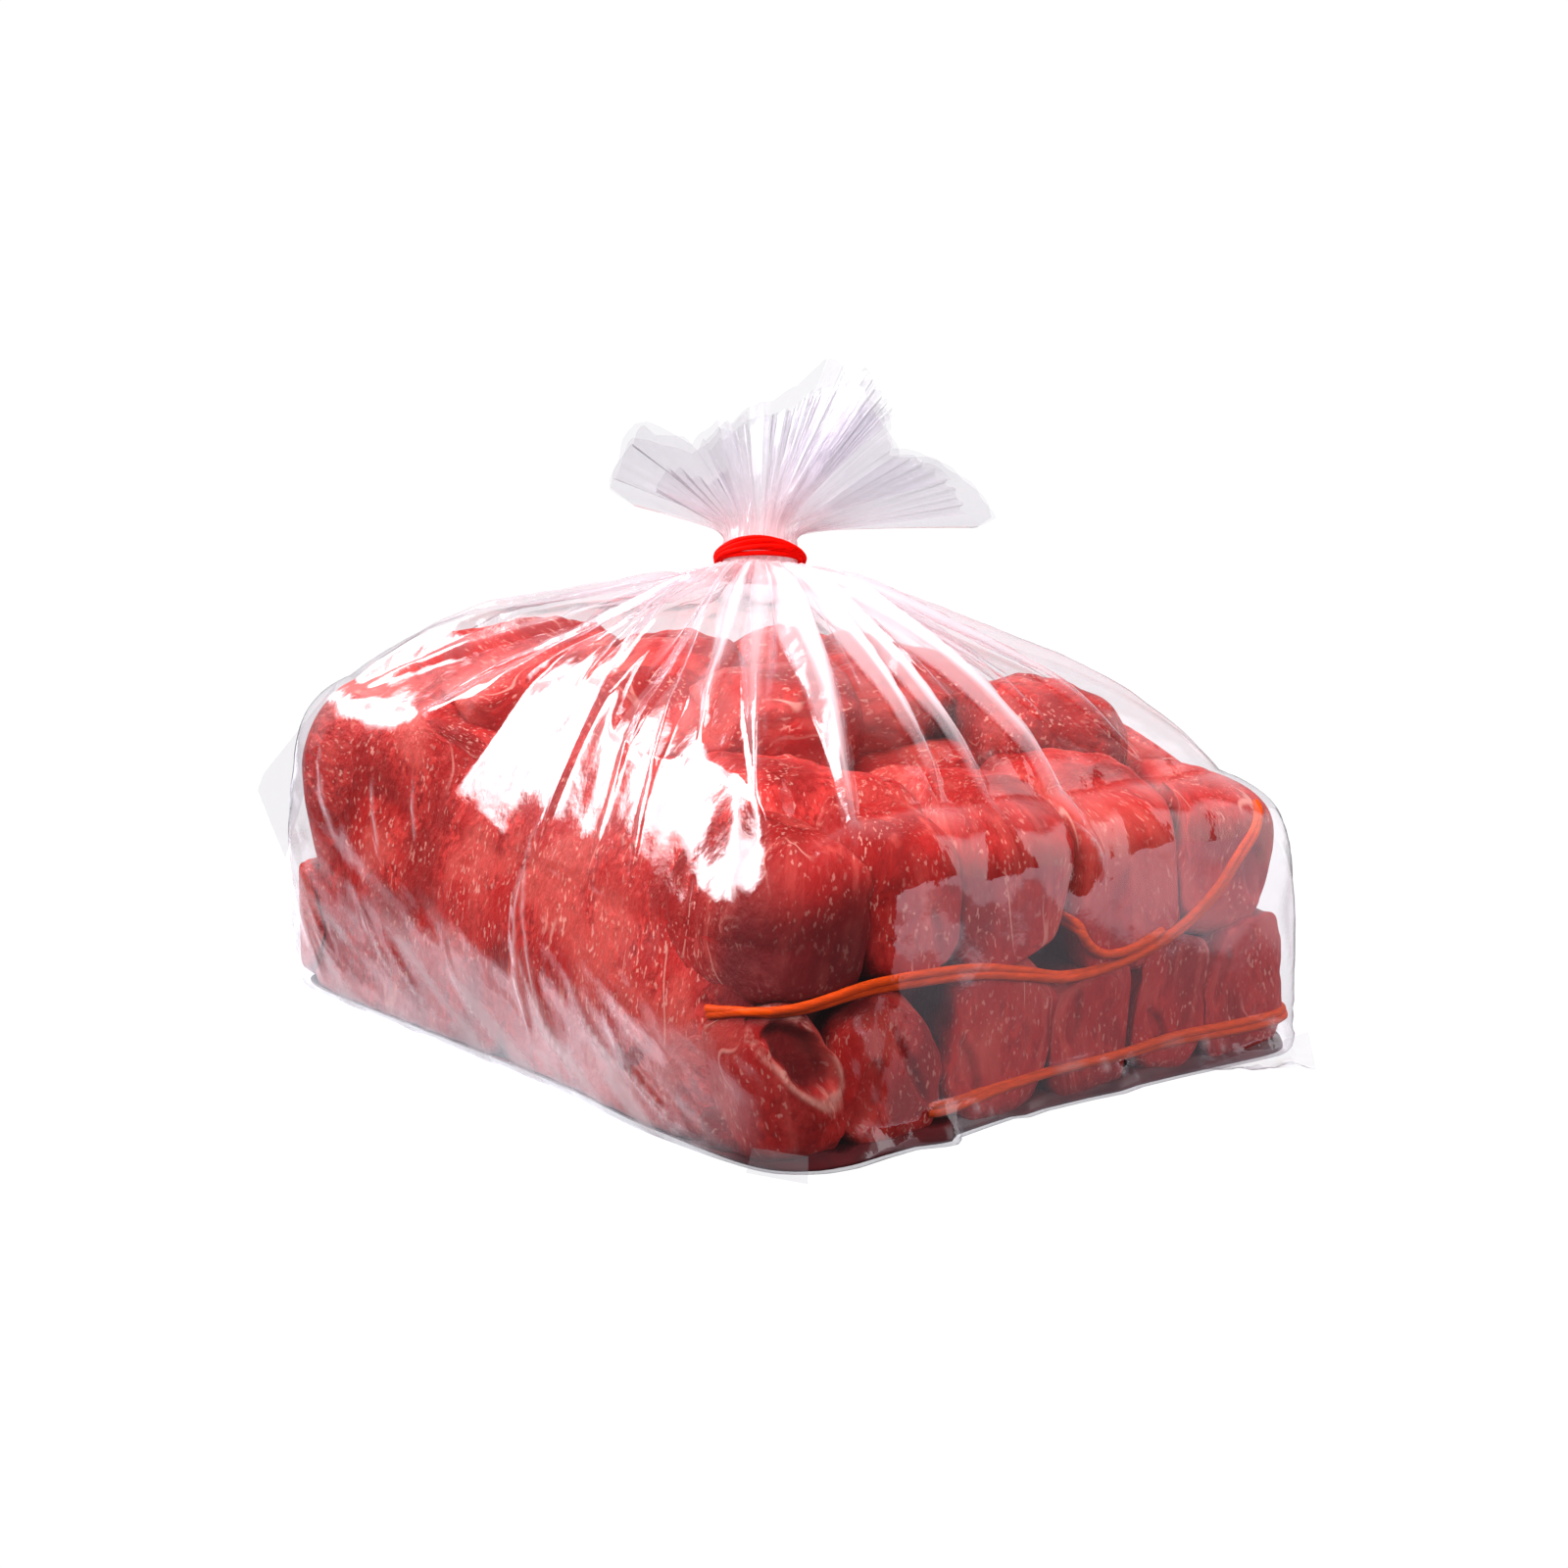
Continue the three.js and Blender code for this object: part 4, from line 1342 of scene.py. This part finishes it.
class BAG_OT_stage(bpy.types.Operator):
    """Makes the pale floor, the soft studio lights, the surroundings and the camera"""

    bl_idname = "beef_bag.stage"
    bl_label = "Stage"

    def execute(self, context):
        look = context.scene.beef_bag.stage
        self.floor(look)
        self.surroundings(context)
        self.light("key_light", (-0.46, 0.85, 0.68), (0.95, 0.66), look.key_power, True)
        self.light("strip_light", (-0.36, 0.30, 1.12), (0.62, 0.5), 0.35 * look.key_power, True)
        self.light("left_fill", (-1.05, 0.0, 0.95), (0.8, 0.8), 1.5 * look.fill_power, False)
        self.light("top_fill", (0.0, 0.1, 1.5), (1.0, 1.0), 1.9 * look.fill_power, False)
        self.light("front_fill", (0.5, -1.2, 0.5), (0.9, 0.9), 0.6 * look.fill_power, False)
        self.camera(context)
        context.scene.view_settings.view_transform = "Standard"
        return {"FINISHED"}

    def floor(self, look):
        """The pale floor. Reflections see it dark, with two bright cards on it."""
        s = look.floor_size
        mesh = bpy.data.meshes.new("floor")
        mesh.from_pydata([(-s, -s, -0.0006), (s, -s, -0.0006), (s, s, -0.0006), (-s, s, -0.0006)],
                         [], [(0, 1, 2, 3)])
        floor = add_object("floor", mesh)
        material, n = new_material("pale_floor")
        place = n.place()
        x, y, _ = n.split(place)
        # A streaky bright card to the left of the slab, seen only in reflections.
        along = n.add("ShaderNodeMapping", {"Vector": place, "Rotation": (0, 0, 1.266)}).outputs[0]
        streak = n.plus(n.times(n.noise(along, (7, 55, 1), 3.0, 0.6), 3.0), -0.6)
        left_card = n.times(n.steps(x, -0.225, -0.09), 2.7, streak, n.steps(x, 0.0, -0.05),
                            n.steps(y, -0.12, -0.03))
        # A second one in front of the chunk face, brighter further off and on the right.
        across = n.plus(n.times(n.plus(x, 0.057), 0.771), n.times(n.plus(y, 0.120), 0.609))
        far = n.ramp(y, -0.17, -0.34, 0.42, 0.70)
        right = n.plus(n.times(n.steps(x, 0.16, 0.24), 1.2), 1.0)
        front_card = n.times(n.steps(across, -0.003, 0.004), n.steps(y, -0.05, -0.11), far, right)
        bright = n.plus(left_card, front_card, 0.04)
        mirrored = n.add("ShaderNodeLightPath").outputs["Is Glossy Ray"]
        tint = n.mix(n.steps(x, -0.05, 0.05), (0.93, 0.94, 1.0, 1), (1.0, 0.90, 0.98, 1))
        tint = n.mix(mirrored, (1, 1, 1, 1), tint)
        n.surface(n.shader("Emission", {"Color": tint, "Strength": n.by_ray(1.04, bright, 0.12)}))
        mesh.materials.append(material)

    def surroundings(self, context):
        """A pale background, soft light from above, and what the film mirrors."""
        world = bpy.data.worlds.new("studio")
        context.scene.world = world
        n = new_nodes(world)
        way = n.add("ShaderNodeTexCoord").outputs["Generated"]
        _, _, up = n.split(way)
        wall = n.ramp(n.dot(way, (0.62, 0.78, 0.0)), 0.35, 0.85, 0.04, 0.9)
        # A bright card beside the chunk face, with a rounded edge, seen only in reflections.
        aside = n.dot(way, (0.707, 0.707, 0.0))
        high = n.math("POWER", n.math("MAXIMUM", n.minus(up, 0.2), 0.0), 2.0)
        beyond = n.minus(aside, n.times(high, 1.18))
        facing = n.dot(way, (0.0, -1.0, 0.0))
        card = n.times(n.steps(beyond, 0.02, 0.05), n.steps(aside, 0.80, 0.60),
                       n.steps(up, 0.95, 0.80), n.steps(facing, 0.0, 0.2), 1.6)
        strength = n.by_ray(1.04, n.plus(wall, card), n.ramp(up, 0.0, 1.0, 0.14, 0.70))
        glow = n.shader("Background", {"Color": (1, 1, 1, 1), "Strength": strength})
        n.add("ShaderNodeOutputWorld", {"Surface": glow})

    def light(self, name, place, size, power, in_shine):
        """A rectangular light turned to the bag, seen only in reflections or giving only soft
        light."""
        lamp = bpy.data.lights.new(name, "AREA")
        lamp.shape = "RECTANGLE"
        lamp.size, lamp.size_y = size
        lamp.energy = power
        if in_shine:
            self.soften(lamp)
        light = add_object(name, lamp)
        light.location = place
        light.rotation_mode = "QUATERNION"
        light.rotation_quaternion = (Vector((0, 0, 0.06)) - Vector(place)).to_track_quat("-Z", "Y")
        light.visible_glossy = in_shine
        light.visible_diffuse = not in_shine
        light.visible_camera = False

    def soften(self, lamp):
        """A softbox is brightest in its middle and fades towards its edges."""
        n = new_nodes(lamp)
        place = n.add("ShaderNodeNewGeometry").outputs["Parametric"]
        glow = n.steps(n.noise(place, (3.0, 3.0, 1.0), 0.5), 0.30, 0.50)
        glow = n.plus(n.times(glow, 0.72), 0.33)
        for along in n.split(place)[:2]:
            glow = n.times(glow, n.steps(along, 0.0, 0.22), n.steps(along, 1.0, 0.78))
        light = n.shader("Emission", {"Strength": n.times(glow, 1.25)})
        n.add("ShaderNodeOutputLight", {"Surface": light})

    def camera(self, context):
        camera = bpy.data.cameras.new("camera")
        camera.lens = 67.5
        camera.sensor_width = 36.0
        camera.clip_start, camera.clip_end = 0.01, 50.0
        view = add_object("camera", camera)
        turn, rise = CAMERA_TURN, CAMERA_RISE
        back = Vector((math.sin(turn) * math.cos(rise), -math.cos(turn) * math.cos(rise),
                       math.sin(rise)))
        view.location = Vector(CAMERA_TARGET) + back * CAMERA_DISTANCE
        view.rotation_mode = "QUATERNION"
        view.rotation_quaternion = (-back).to_track_quat("-Z", "Y")
        context.scene.camera = view
        context.scene.cycles.transparent_max_bounces = 48


class BAG_PT_panel(bpy.types.Panel):
    """Sidebar panel with the pieces of the bag and their settings"""

    bl_label = "Bag of Beef"
    bl_space_type = "VIEW_3D"
    bl_region_type = "UI"
    bl_category = "Beef Bag"

    def draw(self, context):
        settings = context.scene.beef_bag
        for group, operators in (
                (settings.film, (BAG_OT_film,)), (settings.beef, (BAG_OT_beef,)),
                (settings.elastic, (BAG_OT_elastics,)), (settings.stage, (BAG_OT_stage,))):
            box = self.layout.box()
            for operator in operators:
                box.operator(operator.bl_idname)
            for key in group.__annotations__:
                box.prop(group, key)


CLASSES = (BagFilmLook, BagBeefLook, BagElasticLook, BagStageLook, BagSettings, BAG_OT_film,
           BAG_OT_beef, BAG_OT_elastics, BAG_OT_stage, BAG_PT_panel)


def register():
    for cls in CLASSES:
        bpy.utils.register_class(cls)
    bpy.types.Scene.beef_bag = bpy.props.PointerProperty(type=BagSettings)


def unregister():
    del bpy.types.Scene.beef_bag
    for cls in reversed(CLASSES):
        bpy.utils.unregister_class(cls)


def main():
    register()
    bpy.ops.beef_bag.film()
    bpy.ops.beef_bag.beef()
    bpy.ops.beef_bag.elastics()
    bpy.ops.beef_bag.stage()


if __name__ == "__main__":
    main()
